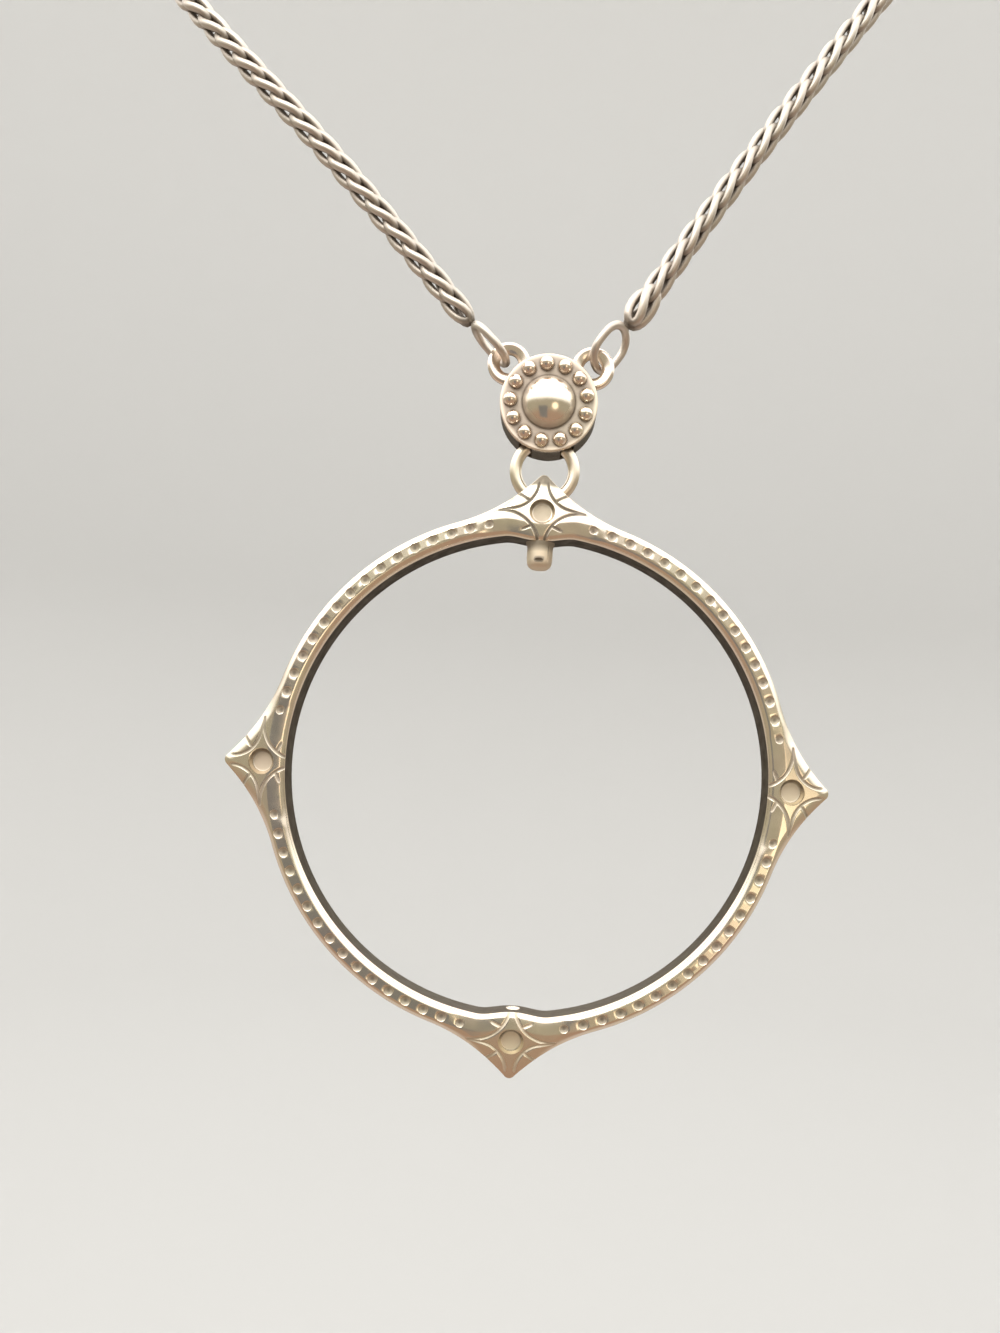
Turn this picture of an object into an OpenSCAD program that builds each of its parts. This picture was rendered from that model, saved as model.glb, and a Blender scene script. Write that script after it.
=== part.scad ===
// Open hoop pendant on a wheat chain, hung at the nape of the neck.
// The front looks along -Y, +Z is up, and the origin is where the clasp rests on the nape.

/* [Hoop] */
// Outer radius of the hoop between its points
hoop_r = 26.4; // [26:0.1:27]
// Radius of the opening through the hoop
bore_r = 24.2; // [23.8:0.1:24.3]
// Depth of the hoop from its back to its crest
hoop_depth = 3.6; // [3.4:0.1:4]
// Distance from the hoop's centre to the end of each point
point_reach = 30.3; // [30:0.1:30.8]
// Radius that rounds the end of each point
point_round = 0.6; // [0.4:0.1:0.8]
// Angle from a point's middle to where its concave side leaves the hoop
point_spread = 18.5; // [17:0.5:20]
// How far the opening swells inwards at the top and the bottom
swell = 0.6; // [0.3:0.1:0.8]

/* [Star and dimples] */
// Distance from the hoop's centre to the middle of each round recess
recess_at = 26.6; // [26.4:0.1:26.8]
// Diameter of each round recess
recess_d = 2.55; // [2:0.05:2.8]
// Depth of each round recess
recess_depth = 0.45; // [0.3:0.05:0.5]
// Number of punched dimples between two points
dimples_per_side = 16; // [8:1:16]
// Angle between two neighbouring dimples
dimple_pitch = 4.43; // [4:0.01:4.5]
// Width of a dimple's mouth
dimple_d = 0.85; // [0.6:0.05:0.95]
// Depth of a dimple
dimple_depth = 0.26; // [0.15:0.01:0.35]

/* [Peg] */
// Diameter of the peg inside the top of the hoop
peg_d = 2.6; // [2.2:0.1:3]
// Distance from the hoop's centre to the end of the peg
peg_end = 21; // [20:0.1:22]

/* [Seat] */
// Width of the shallow dimple inside the bottom of the hoop
seat_d = 1.6; // [1:0.1:2]
// Depth of that dimple
seat_depth = 0.35; // [0.2:0.05:0.4]
// How far it lies behind the middle plane
seat_back = 0.6; // [0:0.1:0.8]

/* [Jump ring] */
// Height of the ring's centre above the hoop's centre
ring_at = 31; // [30.9:0.05:31.1]
// Radius of the ring's wire centre line
ring_r = 2.95; // [2.9:0.05:3]
// Diameter of the ring's wire
ring_wire = 1.2; // [1.1:0.05:1.25]
// Angle that the ring and the hoop can each swing to and fro
swing = 20; // [10:1:22]

/* [Rosette] */
// Height of the rosette's centre above the hoop's centre
rosette_at = 37.4; // [37.2:0.1:37.6]
// Radius of the rosette
rosette_r = 4.9; // [4.7:0.1:5]
// Depth of the rosette's body
rosette_depth = 3; // [2.9:0.1:3.4]
// Radius of the dome in the middle
dome_r = 2.7; // [2.2:0.1:2.8]
// Height of the dome
dome_h = 1.5; // [1:0.1:2]
// Number of granules round the dome
granules = 13; // [9:1:15]
// Diameter of a granule
granule_d = 1.45; // [1:0.05:1.5]
// Radius of the circle that the granules stand on
granule_at = 3.85; // [3.7:0.05:3.9]
// Angle of the first granule, counted from the right as the front is seen
first_granule = 96; // [82:1:110]

/* [Ears and links] */
// Distance of each ear's centre from the pendant's middle
ear_x = 4.2; // [4:0.1:4.4]
// Height of each ear's centre above the rosette's centre
ear_z = 3.8; // [3.6:0.1:4]
// How far each ear's middle lies in front of the rosette's middle plane
ear_out = 0.9; // [0:0.1:1]
// Radius halfway between an ear's hole and its outside
ear_r = 1.5; // [1.4:0.05:1.6]
// Width of an ear's metal round its hole
ear_band = 1.15; // [1:0.05:1.2]
// Thickness of an ear from front to back
ear_thick = 0.8; // [0.6:0.05:0.85]
// Outer length of an oval end link
link_l = 5.4; // [5.3:0.1:5.8]
// Outer width of an oval end link
link_w = 4.4; // [4.3:0.1:4.6]
// Diameter of the wire of an end link
link_wire = 0.8; // [0.7:0.05:0.85]

/* [Chain and clasp] */
// Outer diameter of the wheat chain
chain_d = 2.2; // [2:0.1:2.5]
// Diameter of the barrel clasp
clasp_d = 3.2; // [2.8:0.1:4]
// Length of the barrel without its eyes
clasp_l = 8; // [6:0.5:10]

/* [Hidden] */

$fn = 64;
// A hidden overlap that joins shapes or takes a cut past a face
eps = 0.01;
metal = "#d9c9a6";
chain_metal = "#cfc8bd";

// The hoop's centre from the nape
hoop_y = -112;
hoop_z = -186;

// Heights of the hoop's section, from its middle plane towards the front
crest_h = hoop_depth / 2;
edge_h = crest_h - 0.7;
lip_h = crest_h - 0.4;
lip_w = 0.35;
// The domed face is part of a circle whose top is the crest
crest_r = 25.3;
dome_edge = hoop_r - crest_r;
dome_drop = crest_h - edge_h;
face_r = (pow(dome_edge, 2) + pow(dome_drop, 2)) / (2 * dome_drop);

// Each point's flat top narrows in steps: how far in from the outline, and how high
point_steps = [[0, edge_h], [0.25, edge_h + 0.35], [0.55, crest_h - 0.1]];
// The concave side of a point is an arc that touches the hoop and the round end
tip_z = point_reach - point_round;
tip_lift = tip_z * cos(point_spread);
side_r = (pow(hoop_r, 2) + pow(tip_z, 2) - 2 * hoop_r * tip_lift - pow(point_round, 2))
  / (2 * (tip_lift + point_round - hoop_r));
side_c = (hoop_r + side_r) * [sin(point_spread), cos(point_spread)];

// The swelling inside the top and bottom is part of a circle that crosses the opening here
swell_half = 3.4;
swell_r = 1 / (2 * swell / pow(swell_half, 2) - 1 / bore_r);

// A dimple is cut by a ball
ball_r = (pow(dimple_d / 2, 2) + pow(dimple_depth, 2)) / (2 * dimple_depth);

// The engraved star: its tips from the recess, the radius of its hollow sides and its groove
star_out = 2.6;
star_in = 2.3;
star_side = 2.95;
star_arc_r = 5.8;
groove_w = 0.22;
groove_depth = 0.14;
tick_in = 1.62;
tick_l = 0.5;

// Room round the ring's wire in the hoop and in the rosette
ring_room = 0.12;
ring_bottom = ring_at - ring_r;
ring_top = ring_at + ring_r;
// How far from its bearing the ring's wire leaves the hoop and the rosette
hoop_lever = 0.85;
rosette_lever = ring_top - (rosette_at - rosette_r);
// Half the height of each slot leaves room for the wire as it swings to and fro
hoop_slot = ring_wire / 2 + hoop_lever * sin(swing) + 0.05;
rosette_slot = ring_wire / 2 + rosette_lever * sin(swing) + 0.05;

// Angles from the upright at which each end link leaves its ear and the chain goes on, and the link's tilt
link_lean_left = 46.5;
link_lean_right = 36;
lean_left = 43;
lean_right = 33;
tilt_left = 84;
tilt_right = 57;
// An end link's wire sits against the far side of the ear's hole
link_gap = 0.1;
link_seat = ear_r - ear_band / 2 - link_wire / 2 - link_gap;
link_mid = link_seat + (link_l - link_wire) / 2;
chain_start = link_seat + link_l - link_wire / 2 + link_gap;

// The clasp: a barrel along X with an eye at each end
eye_r = 1.3;
eye_wire = 0.9;
eye_x = clasp_l / 2 + eye_r;
clasp_y = clasp_d / 2;
clasp_link_seat = eye_r - eye_wire / 2 - link_wire / 2 - link_gap;
clasp_link_x = eye_x + clasp_link_seat + (link_l - link_wire) / 2;
// The chain's end is cut a little aslant, so it keeps more room here
chain_end_x = eye_x + clasp_link_seat + link_l - link_wire / 2 + 3 * link_gap;

// Points that the chain passes on its way round the neck, from the pendant to the clasp
route_left = [[-35.6, -112, -112.6], [-46, -108.2, -100.5], [-55, -100, -87.5], [-61.5, -88, -73.5],
  [-65, -73.5, -59], [-65.5, -58, -45.5], [-61.5, -42.5, -33], [-53.5, -28, -22], [-42.5, -15.3, -12.5],
  [-29.5, -5.6, -5.2], [-18.5, 0, -1.1]];
route_right = [[29.9, -112, -106.7], [40, -109.8, -92.5], [50, -103, -79], [57.5, -92, -66], [63, -78.5, -53],
  [64.5, -63, -41], [61.5, -47, -29.7], [54, -31.5, -19.5], [42.5, -17, -11], [29.5, -6.4, -4.8],
  [18.5, 0, -1.1]];
// Length of the straight stretch next to the pendant
straight_l = 20;
rings_per_span = 3;
tube_sides = 10;
neck_y = -56;

function unit(v) = v / norm(v);

// One point of a curve that passes through b and c, with a and d as its neighbours
function curve(a, b, c, d, t) =
  0.5 * (2 * b + (c - a) * t + (2 * a - 5 * b + 4 * c - d) * t * t + (3 * b - a - 3 * c + d) * t * t * t);

// The smooth route through all points, with its ends carried on straight
function smooth(p) =
  let (n = len(p), q = concat([2 * p[0] - p[1]], p, [2 * p[n - 1] - p[n - 2]]))
  concat([for (i = [0:n - 2], k = [0:rings_per_span - 1])
    curve(q[i], q[i + 1], q[i + 2], q[i + 3], k / rings_per_span)], [p[n - 1]]);

// A ring of points round the route at point i, turned to face along it
function ring_points(p, i, r) =
  let (along = unit(p[min(i + 1, len(p) - 1)] - p[max(i - 1, 0)]),
    away = [p[i].x, p[i].y - neck_y, 0],
    u = unit(away - (away * along) * along),
    v = cross(along, u))
  [for (k = [0:tube_sides - 1]) p[i] + r * (cos(360 * k / tube_sides) * u + sin(360 * k / tube_sides) * v)];

// The directions of the end link and of the chain on one side
function link_lean(side) = side < 0 ? link_lean_left : link_lean_right;
function lean(side) = side < 0 ? lean_left : lean_right;
function leave(side, angle) = [side * sin(angle), 0, cos(angle)];
function ear_centre(side) = [side * ear_x, hoop_y - ear_out, hoop_z + rosette_at + ear_z];

function chain_points(side, route) =
  let (start = ear_centre(side) + chain_start * leave(side, link_lean(side)),
    straight_end = start + straight_l * leave(side, lean(side)))
  smooth(concat([start, straight_end], route, [[side * chain_end_x, clasp_y, 0]]));

// A flat drawing in the pendant's plane: its height comes towards the viewer
module frontal() {
  translate([0, hoop_y, hoop_z])
    rotate([90, 0, 0])
      children();
}

module point_outline(inset) {
  towards_tip = unit([0, tip_z] - side_c);
  shoulder = side_c + side_r * towards_tip;
  difference() {
    union() {
      polygon([[0, crest_r], (hoop_r - inset) * [-sin(point_spread), cos(point_spread)],
        [-shoulder.x, shoulder.y], shoulder, (hoop_r - inset) * [sin(point_spread), cos(point_spread)]]);
      translate([0, tip_z])
        circle(point_round);
    }
    for (s = [-1, 1])
      translate([s * side_c.x, side_c.y])
        circle(side_r + inset, $fn = 180);
    if (inset > 0)
      translate([-point_round, point_reach - inset])
        square([2 * point_round, inset + eps]);
  }
}

module hoop_points() {
  for (turn = [0:90:270])
    rotate(turn)
      for (step = point_steps)
        translate([0, 0, -crest_h])
          linear_extrude(step[1] + crest_h)
            point_outline(step[0]);
}

module hoop_band() {
  rotate_extrude($fn = 180) {
    translate([bore_r - 1, -crest_h])
      square([hoop_r - bore_r + 1, edge_h + crest_h]);
    translate([bore_r - 1, -crest_h])
      square([1 + lip_w, lip_h + crest_h]);
    intersection() {
      translate([crest_r, crest_h - face_r])
        circle(face_r);
      translate([bore_r + lip_w - eps, 0])
        square([hoop_r - bore_r - lip_w + eps, hoop_depth]);
    }
  }
}

module hoop_opening() {
  translate([0, 0, -hoop_depth])
    linear_extrude(2 * hoop_depth)
      difference() {
        circle(bore_r, $fn = 180);
        for (s = [-1, 1])
          translate([0, s * (bore_r - swell + swell_r)])
            circle(swell_r, $fn = 120);
      }
}

module dimple_row() {
  first = 45 - dimple_pitch * (dimples_per_side - 1) / 2;
  for (turn = [0:90:270], i = [0:dimples_per_side - 1])
    rotate(turn + first + i * dimple_pitch)
      translate([crest_r, 0, crest_h - dimple_depth + ball_r])
        sphere(ball_r, $fn = 24);
}

// A groove along the arc of radius r that bulges from p to q towards the recess
module groove(p, q, r) {
  half = norm(q - p) / 2;
  away = unit([(p - q).y, (q - p).x]);
  c = (p + q) / 2 + sqrt(r * r - half * half) * away;
  from = atan2((p - c).y, (p - c).x);
  sweep = 2 * asin(half / r);
  translate([c.x, c.y, point_steps[2][1] - groove_depth])
    rotate(from)
      rotate_extrude(angle = sweep, $fn = 96)
        translate([r - groove_w / 2, 0])
          square([groove_w, 1]);
}

module star() {
  top = [0, star_out];
  side = [star_side, 0];
  low = [0, -star_in];
  translate([0, recess_at]) {
    for (s = [0, 1])
      mirror([s, 0, 0]) {
        groove(top, side, star_arc_r);
        groove(side, low, star_arc_r);
        rotate(45)
          translate([tick_in, -groove_w / 2, point_steps[2][1] - groove_depth])
            cube([tick_l, groove_w, 1]);
      }
    translate([0, 0, crest_h - recess_depth])
      cylinder(d = recess_d, h = hoop_depth);
  }
}

// The peg hangs into the opening, with a round end and a small dimple near it
module peg() {
  r = peg_d / 2;
  end_round = 0.8;
  difference() {
    translate([0, bore_r + 0.5, 0])
      rotate([90, 0, 0])
        rotate_extrude()
          intersection() {
            union() {
              square([r, bore_r + 0.5 - peg_end - end_round]);
              translate([0, bore_r + 0.5 - peg_end - end_round])
                square([r - end_round, end_round]);
              translate([r - end_round, bore_r + 0.5 - peg_end - end_round])
                circle(end_round);
            }
            square([r, hoop_depth + bore_r]);
          }
    translate([-0.1, peg_end + 0.75, r + 0.1])
      sphere(0.35, $fn = 24);
  }
}

// The way that the jump ring takes through a solid
module ring_slot(half_height) {
  translate([0, ring_at, 0])
    rotate_extrude($fn = 96)
      translate([ring_r - ring_wire / 2 - ring_room, -half_height])
        square([ring_wire + 2 * ring_room, 2 * half_height]);
}

// The shallow dimple opposite the peg
module seat() {
  seat_r = (pow(seat_d / 2, 2) + pow(seat_depth, 2)) / (2 * seat_depth);
  translate([0, swell - bore_r - seat_depth + seat_r, -seat_back])
    sphere(seat_r, $fn = 48);
}

module hoop() {
  color(metal)
    frontal() {
      difference() {
        union() {
          hoop_band();
          hoop_points();
        }
        hoop_opening();
        seat();
        dimple_row();
        for (turn = [0:90:270])
          rotate(turn)
            star();
        ring_slot(hoop_slot);
      }
      peg();
    }
}

module jump_ring() {
  color(metal)
    frontal()
      translate([0, ring_at, 0])
        rotate_extrude($fn = 96)
          translate([ring_r, 0])
            circle(ring_wire / 2);
}

// A flat eye whose inner and outer edges are round
module ear() {
  half_flat = (ear_band - ear_thick) / 2;
  rotate_extrude($fn = 72) {
    translate([ear_r - half_flat, -ear_thick / 2])
      square([2 * half_flat, ear_thick]);
    for (s = [-1, 1])
      translate([ear_r + s * half_flat, 0])
        circle(ear_thick / 2, $fn = 32);
  }
}

module rosette() {
  rim_h = rosette_depth / 2;
  // The dome is the cap of a ball
  cap_r = (pow(dome_r, 2) + pow(dome_h, 2)) / (2 * dome_h);
  color(metal)
    frontal()
      translate([0, rosette_at, 0]) {
        difference() {
          translate([0, 0, -rim_h])
            cylinder(r = rosette_r, h = rosette_depth, $fn = 120);
          translate([0, -rosette_at, 0])
            ring_slot(rosette_slot);
        }
        intersection() {
          translate([0, 0, rim_h + dome_h - cap_r])
            sphere(cap_r);
          translate([0, 0, rim_h - 0.3])
            cylinder(r = dome_r, h = dome_h + 1);
        }
        for (i = [0:granules - 1])
          rotate(first_granule + i * 360 / granules)
            translate([granule_at, 0, rim_h])
              sphere(d = granule_d, $fn = 24);
        for (s = [-1, 1])
          translate([s * ear_x, ear_z, ear_out])
            ear();
      }
}

// An oval link of round wire, its length along Z and its opening along Y
module oval_link() {
  bend_r = (link_w - link_wire) / 2;
  half_straight = (link_l - link_w) / 2;
  for (s = [0, 1])
    mirror([0, 0, s]) {
      translate([0, 0, half_straight])
        rotate([90, 0, 0])
          rotate_extrude(angle = 180, $fn = 72)
            translate([bend_r, 0])
              circle(link_wire / 2, $fn = 32);
    }
  for (s = [-1, 1])
    translate([s * bend_r, 0, -half_straight])
      cylinder(d = link_wire, h = 2 * half_straight, $fn = 32);
}

module end_link(side, tilt) {
  color(chain_metal)
    translate(ear_centre(side))
      rotate([0, side * link_lean(side), 0])
        translate([0, 0, link_mid])
          rotate(tilt)
            oval_link();
}

module end_link_left() {
  end_link(-1, tilt_left);
}

module end_link_right() {
  end_link(1, tilt_right);
}

// A plain round tube in place of the wheat chain
module chain(side, route) {
  points = chain_points(side, route);
  n = len(points);
  rings = [for (i = [0:n - 1]) each ring_points(points, i, chain_d / 2)];
  walls = [for (i = [0:n - 2], k = [0:tube_sides - 1])
    let (next = (k + 1) % tube_sides)
    [i * tube_sides + k, (i + 1) * tube_sides + k, (i + 1) * tube_sides + next, i * tube_sides + next]];
  start_cap = [for (k = [0:tube_sides - 1]) k];
  end_cap = [for (k = [tube_sides - 1:-1:0]) (n - 1) * tube_sides + k];
  color(chain_metal)
    polyhedron(rings, concat(walls, [start_cap, end_cap]));
}

module chain_left() {
  chain(-1, route_left);
}

module chain_right() {
  chain(1, route_right);
}

module clasp_link(side) {
  color(chain_metal)
    translate([side * clasp_link_x, clasp_y, 0])
      rotate([90, 0, 0])
        rotate([0, 90, 0])
          oval_link();
}

module clasp_link_left() {
  clasp_link(-1);
}

module clasp_link_right() {
  clasp_link(1);
}

// A plain barrel with an eye at each end
module clasp() {
  end_round = 0.8;
  color(metal)
    translate([0, clasp_y, 0]) {
      rotate([0, 90, 0])
        rotate_extrude()
          intersection() {
            union() {
              translate([0, -clasp_l / 2])
                square([clasp_d / 2 - end_round, clasp_l]);
              translate([0, end_round - clasp_l / 2])
                square([clasp_d / 2, clasp_l - 2 * end_round]);
              for (s = [-1, 1])
                translate([clasp_d / 2 - end_round, s * (clasp_l / 2 - end_round)])
                  circle(end_round);
            }
            translate([0, -clasp_l])
              square([clasp_d, 2 * clasp_l]);
          }
      for (s = [-1, 1])
        translate([s * eye_x, 0, 0])
          rotate([90, 0, 0])
            rotate_extrude($fn = 72)
              translate([eye_r, 0])
                circle(eye_wire / 2, $fn = 32);
    }
}

hoop();
jump_ring();
rosette();
end_link_left();
end_link_right();
chain_left();
chain_right();
clasp_link_left();
clasp_link_right();
clasp();
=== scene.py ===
# %% [markdown]
# An open hoop pendant in champagne gold, hung from a beaded station on a wheat chain. The solid model gives
# every piece its place and size. This lesson builds the finished surfaces round it: each piece is a surface
# worked out with numpy, and each finish is a small network of shader nodes.

# %% The frame
import math

import bpy
import numpy as np
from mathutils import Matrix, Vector


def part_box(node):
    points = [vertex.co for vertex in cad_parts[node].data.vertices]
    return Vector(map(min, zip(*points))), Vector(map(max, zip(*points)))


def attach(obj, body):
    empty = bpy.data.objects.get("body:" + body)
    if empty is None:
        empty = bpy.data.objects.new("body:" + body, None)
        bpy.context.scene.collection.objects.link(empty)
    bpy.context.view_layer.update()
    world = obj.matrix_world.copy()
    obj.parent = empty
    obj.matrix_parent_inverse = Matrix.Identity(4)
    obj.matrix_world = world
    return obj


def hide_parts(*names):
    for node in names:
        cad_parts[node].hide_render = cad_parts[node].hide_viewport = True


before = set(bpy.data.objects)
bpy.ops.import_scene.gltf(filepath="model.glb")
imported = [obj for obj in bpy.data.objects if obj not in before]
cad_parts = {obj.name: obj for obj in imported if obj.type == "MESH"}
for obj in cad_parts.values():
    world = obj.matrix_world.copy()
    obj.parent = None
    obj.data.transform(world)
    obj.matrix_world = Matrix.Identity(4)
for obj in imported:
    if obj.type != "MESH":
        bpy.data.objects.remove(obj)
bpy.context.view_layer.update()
MM = 0.001

# %% [markdown]
# All measures below are millimetres, as a goldsmith would give them. Where a piece sits is read from the
# frame: the middle of the hoop's box is the hoop's centre, and its front is the most negative Y.


# %% Places read from the frame
def box_mm(node):
    """The lowest and highest corner of a solid in millimetres."""
    low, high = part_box(node)
    return np.array(low) / MM, np.array(high) / MM


hoop_low, hoop_high = box_mm("hoop")
HOOP_CENTRE = (hoop_low + hoop_high) / 2
REACH = (hoop_high[2] - hoop_low[2]) / 2
CREST = (hoop_high[1] - hoop_low[1]) / 2
ring_low, ring_high = box_mm("jump_ring")
RING_CENTRE = (ring_low + ring_high) / 2
RING_WIRE = ring_high[1] - ring_low[1]
RING_R = (ring_high[2] - ring_low[2] - RING_WIRE) / 2
print("hoop centre", np.round(HOOP_CENTRE, 2), "reach", round(REACH, 2), "crest", round(CREST, 2))
print("ring centre", np.round(RING_CENTRE, 2), "radius", round(RING_R, 2), "wire", round(RING_WIRE, 2))


def frontal(x, up, out):
    """Points of the pendant's plane: x right, up, and out towards the viewer, from the hoop's centre."""
    return np.stack([HOOP_CENTRE[0] + x, HOOP_CENTRE[1] - out, HOOP_CENTRE[2] + up], axis=-1)


# %% [markdown]
# The camera stands straight in front of the hoop, close to it, as a hand-held close-up does. That is why
# the inner wall of the hoop shows all the way round. The picture is a little turned, so the pendant leans
# to the right by a few degrees, and the lens shift puts the hoop where the picture has it.

# %% Camera
PICTURE_W, PICTURE_H = 1000, 1333
HOOP_PIXEL = (526.6, 776.7)
FOCAL_PIXELS = 900.0
SENSOR = 36.0
DISTANCE = 90.0
MEASURED_PLANE = 1.2
LEAN = math.radians(3.4)
NEAREST, FARTHEST = 5.0, 30000.0
camera_data = bpy.data.cameras.new("camera")
camera_data.sensor_width = SENSOR
camera_data.lens = FOCAL_PIXELS / PICTURE_H * SENSOR
camera_data.shift_x = -(HOOP_PIXEL[0] - PICTURE_W / 2) / PICTURE_H
camera_data.shift_y = (HOOP_PIXEL[1] - PICTURE_H / 2) / PICTURE_H
camera_data.clip_start = NEAREST * MM
camera_data.clip_end = FARTHEST * MM
camera = bpy.data.objects.new("camera", camera_data)
camera.location = frontal(0, 0, MEASURED_PLANE + DISTANCE) * MM
camera.rotation_euler = (math.pi / 2, -LEAN, 0)
bpy.context.scene.collection.objects.link(camera)
bpy.context.scene.camera = camera
print("camera", DISTANCE, "mm before the face, lens", round(camera_data.lens, 2), "mm")

# %% [markdown]
# Polished metal shows the room more than itself, so the light is built first. Both the room and the metal
# are sums of shader nodes. Two small helpers make them readable: a socket that can be added, subtracted and
# multiplied like a number, and a tree that adds any node in one line.


# %% A socket that is reckoned with like a number
class Sock:
    """A shader socket on which the signs + - and * add Math nodes, one for each sign."""

    def __init__(self, tree, socket):
        self.tree = tree
        self.socket = socket

    def math(self, operation, *others):
        """What one Math node gives when its inputs are this socket and then the others."""
        node = self.tree.nodes.new("ShaderNodeMath")
        node.operation = operation
        for slot, value in zip(node.inputs, (self, *others)):
            plug(self.tree, slot, value)
        return Sock(self.tree, node.outputs[0])

    # Sum, product and difference. A number may stand on the left: 1 - mask is mask times -1, plus 1.
    def __add__(self, other):
        return self.math("ADD", other)

    __radd__ = __add__

    def __mul__(self, other):
        return self.math("MULTIPLY", other)

    __rmul__ = __mul__

    def __sub__(self, other):
        return self.math("SUBTRACT", other)

    def __rsub__(self, other):
        return self.math("MULTIPLY", -1.0).math("ADD", other)

    def between(self, low, high):
        """The value, but never under low or over high."""
        return self.math("MAXIMUM", low).math("MINIMUM", high)

    def step(self, low, high):
        """0 below low, 1 above high, smooth between; low above high turns it round."""
        node = self.tree.nodes.new("ShaderNodeMapRange")
        node.interpolation_type = "SMOOTHSTEP"
        falling = low > high
        plug(self.tree, node.inputs["Value"], self)
        node.inputs["From Min"].default_value = min(low, high)
        node.inputs["From Max"].default_value = max(low, high)
        node.inputs["To Min"].default_value = 1.0 if falling else 0.0
        node.inputs["To Max"].default_value = 0.0 if falling else 1.0
        return Sock(self.tree, node.outputs["Result"])


def plug(tree, slot, value):
    """Puts a number, a colour or a link into a socket."""
    if isinstance(value, Sock):
        tree.links.new(value.socket, slot)
    else:
        slot.default_value = value


# %% A tree that adds any node
class Graph:
    """One node tree, with a method that adds any node and returns one of its outputs."""

    def __init__(self, tree):
        self.tree = tree

    def node(self, kind, settings=None, inputs=None, output=0):
        """Adds a node: its settings first, then the values or links of its sockets."""
        node = self.tree.nodes.new(kind)
        for name, value in (settings or {}).items():
            setattr(node, name, value)
        for name, value in (inputs or {}).items():
            plug(self.tree, node.inputs[name], value)
        return Sock(self.tree, node.outputs[output])

    def mix(self, factor, a, b):
        """A colour that goes from a to b as factor goes from 0 to 1: a * (1 - factor) + b * factor."""
        node = self.tree.nodes.new("ShaderNodeMix")
        node.data_type = "RGBA"
        for slot, value in ((node.inputs[0], factor), (node.inputs[6], a), (node.inputs[7], b)):
            plug(self.tree, slot, value)
        return Sock(self.tree, node.outputs[2])

    def scale(self, colour, factor):
        """A colour made lighter or darker: each of its parts times a number that varies."""
        return self.node("ShaderNodeVectorMath", {"operation": "SCALE"}, {0: colour, "Scale": factor})

    def split(self, vector):
        """The three parts of a vector, as three sockets."""
        node = self.tree.nodes.new("ShaderNodeSeparateXYZ")
        plug(self.tree, node.inputs[0], vector)
        return [Sock(self.tree, output) for output in node.outputs]

    def noise(self, vector, scale, detail=3.0, roughness=0.55):
        """Soft random swells about one half; scale is how many there are to a metre."""
        inputs = {"Vector": vector, "Scale": scale, "Detail": detail, "Roughness": roughness}
        return self.node("ShaderNodeTexNoise", inputs=inputs)


def rgb(red, green, blue):
    """A colour as Blender wants it, with full opacity as its fourth number."""
    return (red, green, blue, 1.0)


print("shader maths ready:", ", ".join(name for name in vars(Graph) if not name.startswith("_")))

# %% [markdown]
# The room is a colour for each direction in which a mirrored ray leaves. Its parts blend softly: white
# overhead, olive at the horizon, brown below, rosy on the ground behind the necklace, a dim wall far
# behind, and one warm lamp low in front. Each slope of the metal mirrors its own part, which is what gives
# the pendant its tones.

# %% The colours of the room
OVERHEAD = rgb(2.1, 2.08, 2.02)
HORIZON = rgb(0.45, 0.41, 0.32)
BELOW = rgb(0.44, 0.31, 0.23)
BEHIND = rgb(0.17, 0.15, 0.12)
ROSY_GROUND = rgb(0.66, 0.57, 0.51)
WARM_LAMP = rgb(1.9, 1.6, 1.2)
PALE_STUDIO = rgb(0.80, 0.79, 0.77)
BELOW_HEIGHT = (-0.12, -0.6)
ROSY_DEPTH = (-0.1, 0.3)
ROSY_HEIGHT = (0.1, -0.3)
BEHIND_DEPTH = (0.72, 0.92)
OVERHEAD_HEIGHT = (0.16, 0.47)
OVERHEAD_LOST_BEHIND = 0.85
LAMP_RIGHT, LAMP_UP = 24, -8
LAMP_FULL, LAMP_EDGE = 7, 14
world = bpy.data.worlds.new("studio")
bpy.context.scene.world = world
world.use_nodes = True
sky = Graph(world.node_tree)
side, depth, height = sky.split(sky.node("ShaderNodeTexCoord", output="Generated"))
bpy.context.scene.view_settings.view_transform = "Standard"


# %% A lamp as a patch of the room
def disc(right_degrees, up_degrees, full, edge):
    """A round soft patch of the room: 1 within full degrees of its middle and 0 beyond edge degrees.

    The cosine of the angle between a ray and the middle is the sum of the products of their parts.
    """
    azimuth, elevation = math.radians(right_degrees), math.radians(up_degrees)
    level = math.cos(elevation)
    aim = (level * math.sin(azimuth), -level * math.cos(azimuth), math.sin(elevation))
    nearness = side * aim[0] + depth * aim[1] + height * aim[2]
    return nearness.step(math.cos(math.radians(edge)), math.cos(math.radians(full)))


far_behind = depth.step(*BEHIND_DEPTH)
room = sky.mix(height.step(*BELOW_HEIGHT), HORIZON, BELOW)
room = sky.mix(depth.step(*ROSY_DEPTH) * height.step(*ROSY_HEIGHT), room, ROSY_GROUND)
room = sky.mix(far_behind, room, BEHIND)
room = sky.mix(height.step(*OVERHEAD_HEIGHT) * (1 - OVERHEAD_LOST_BEHIND * far_behind), room, OVERHEAD)
room = sky.mix(disc(LAMP_RIGHT, LAMP_UP, LAMP_FULL, LAMP_EDGE), room, WARM_LAMP)
seen_directly = sky.node("ShaderNodeLightPath", output="Is Camera Ray")
room = sky.mix(seen_directly, room, PALE_STUDIO)
plug(world.node_tree, world.node_tree.nodes["Background"].inputs["Color"], room)
print("room:", len(world.node_tree.nodes), "nodes")

# %% [markdown]
# One soft square light above and to the left gives the edges their bright side and lights the floor.

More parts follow.
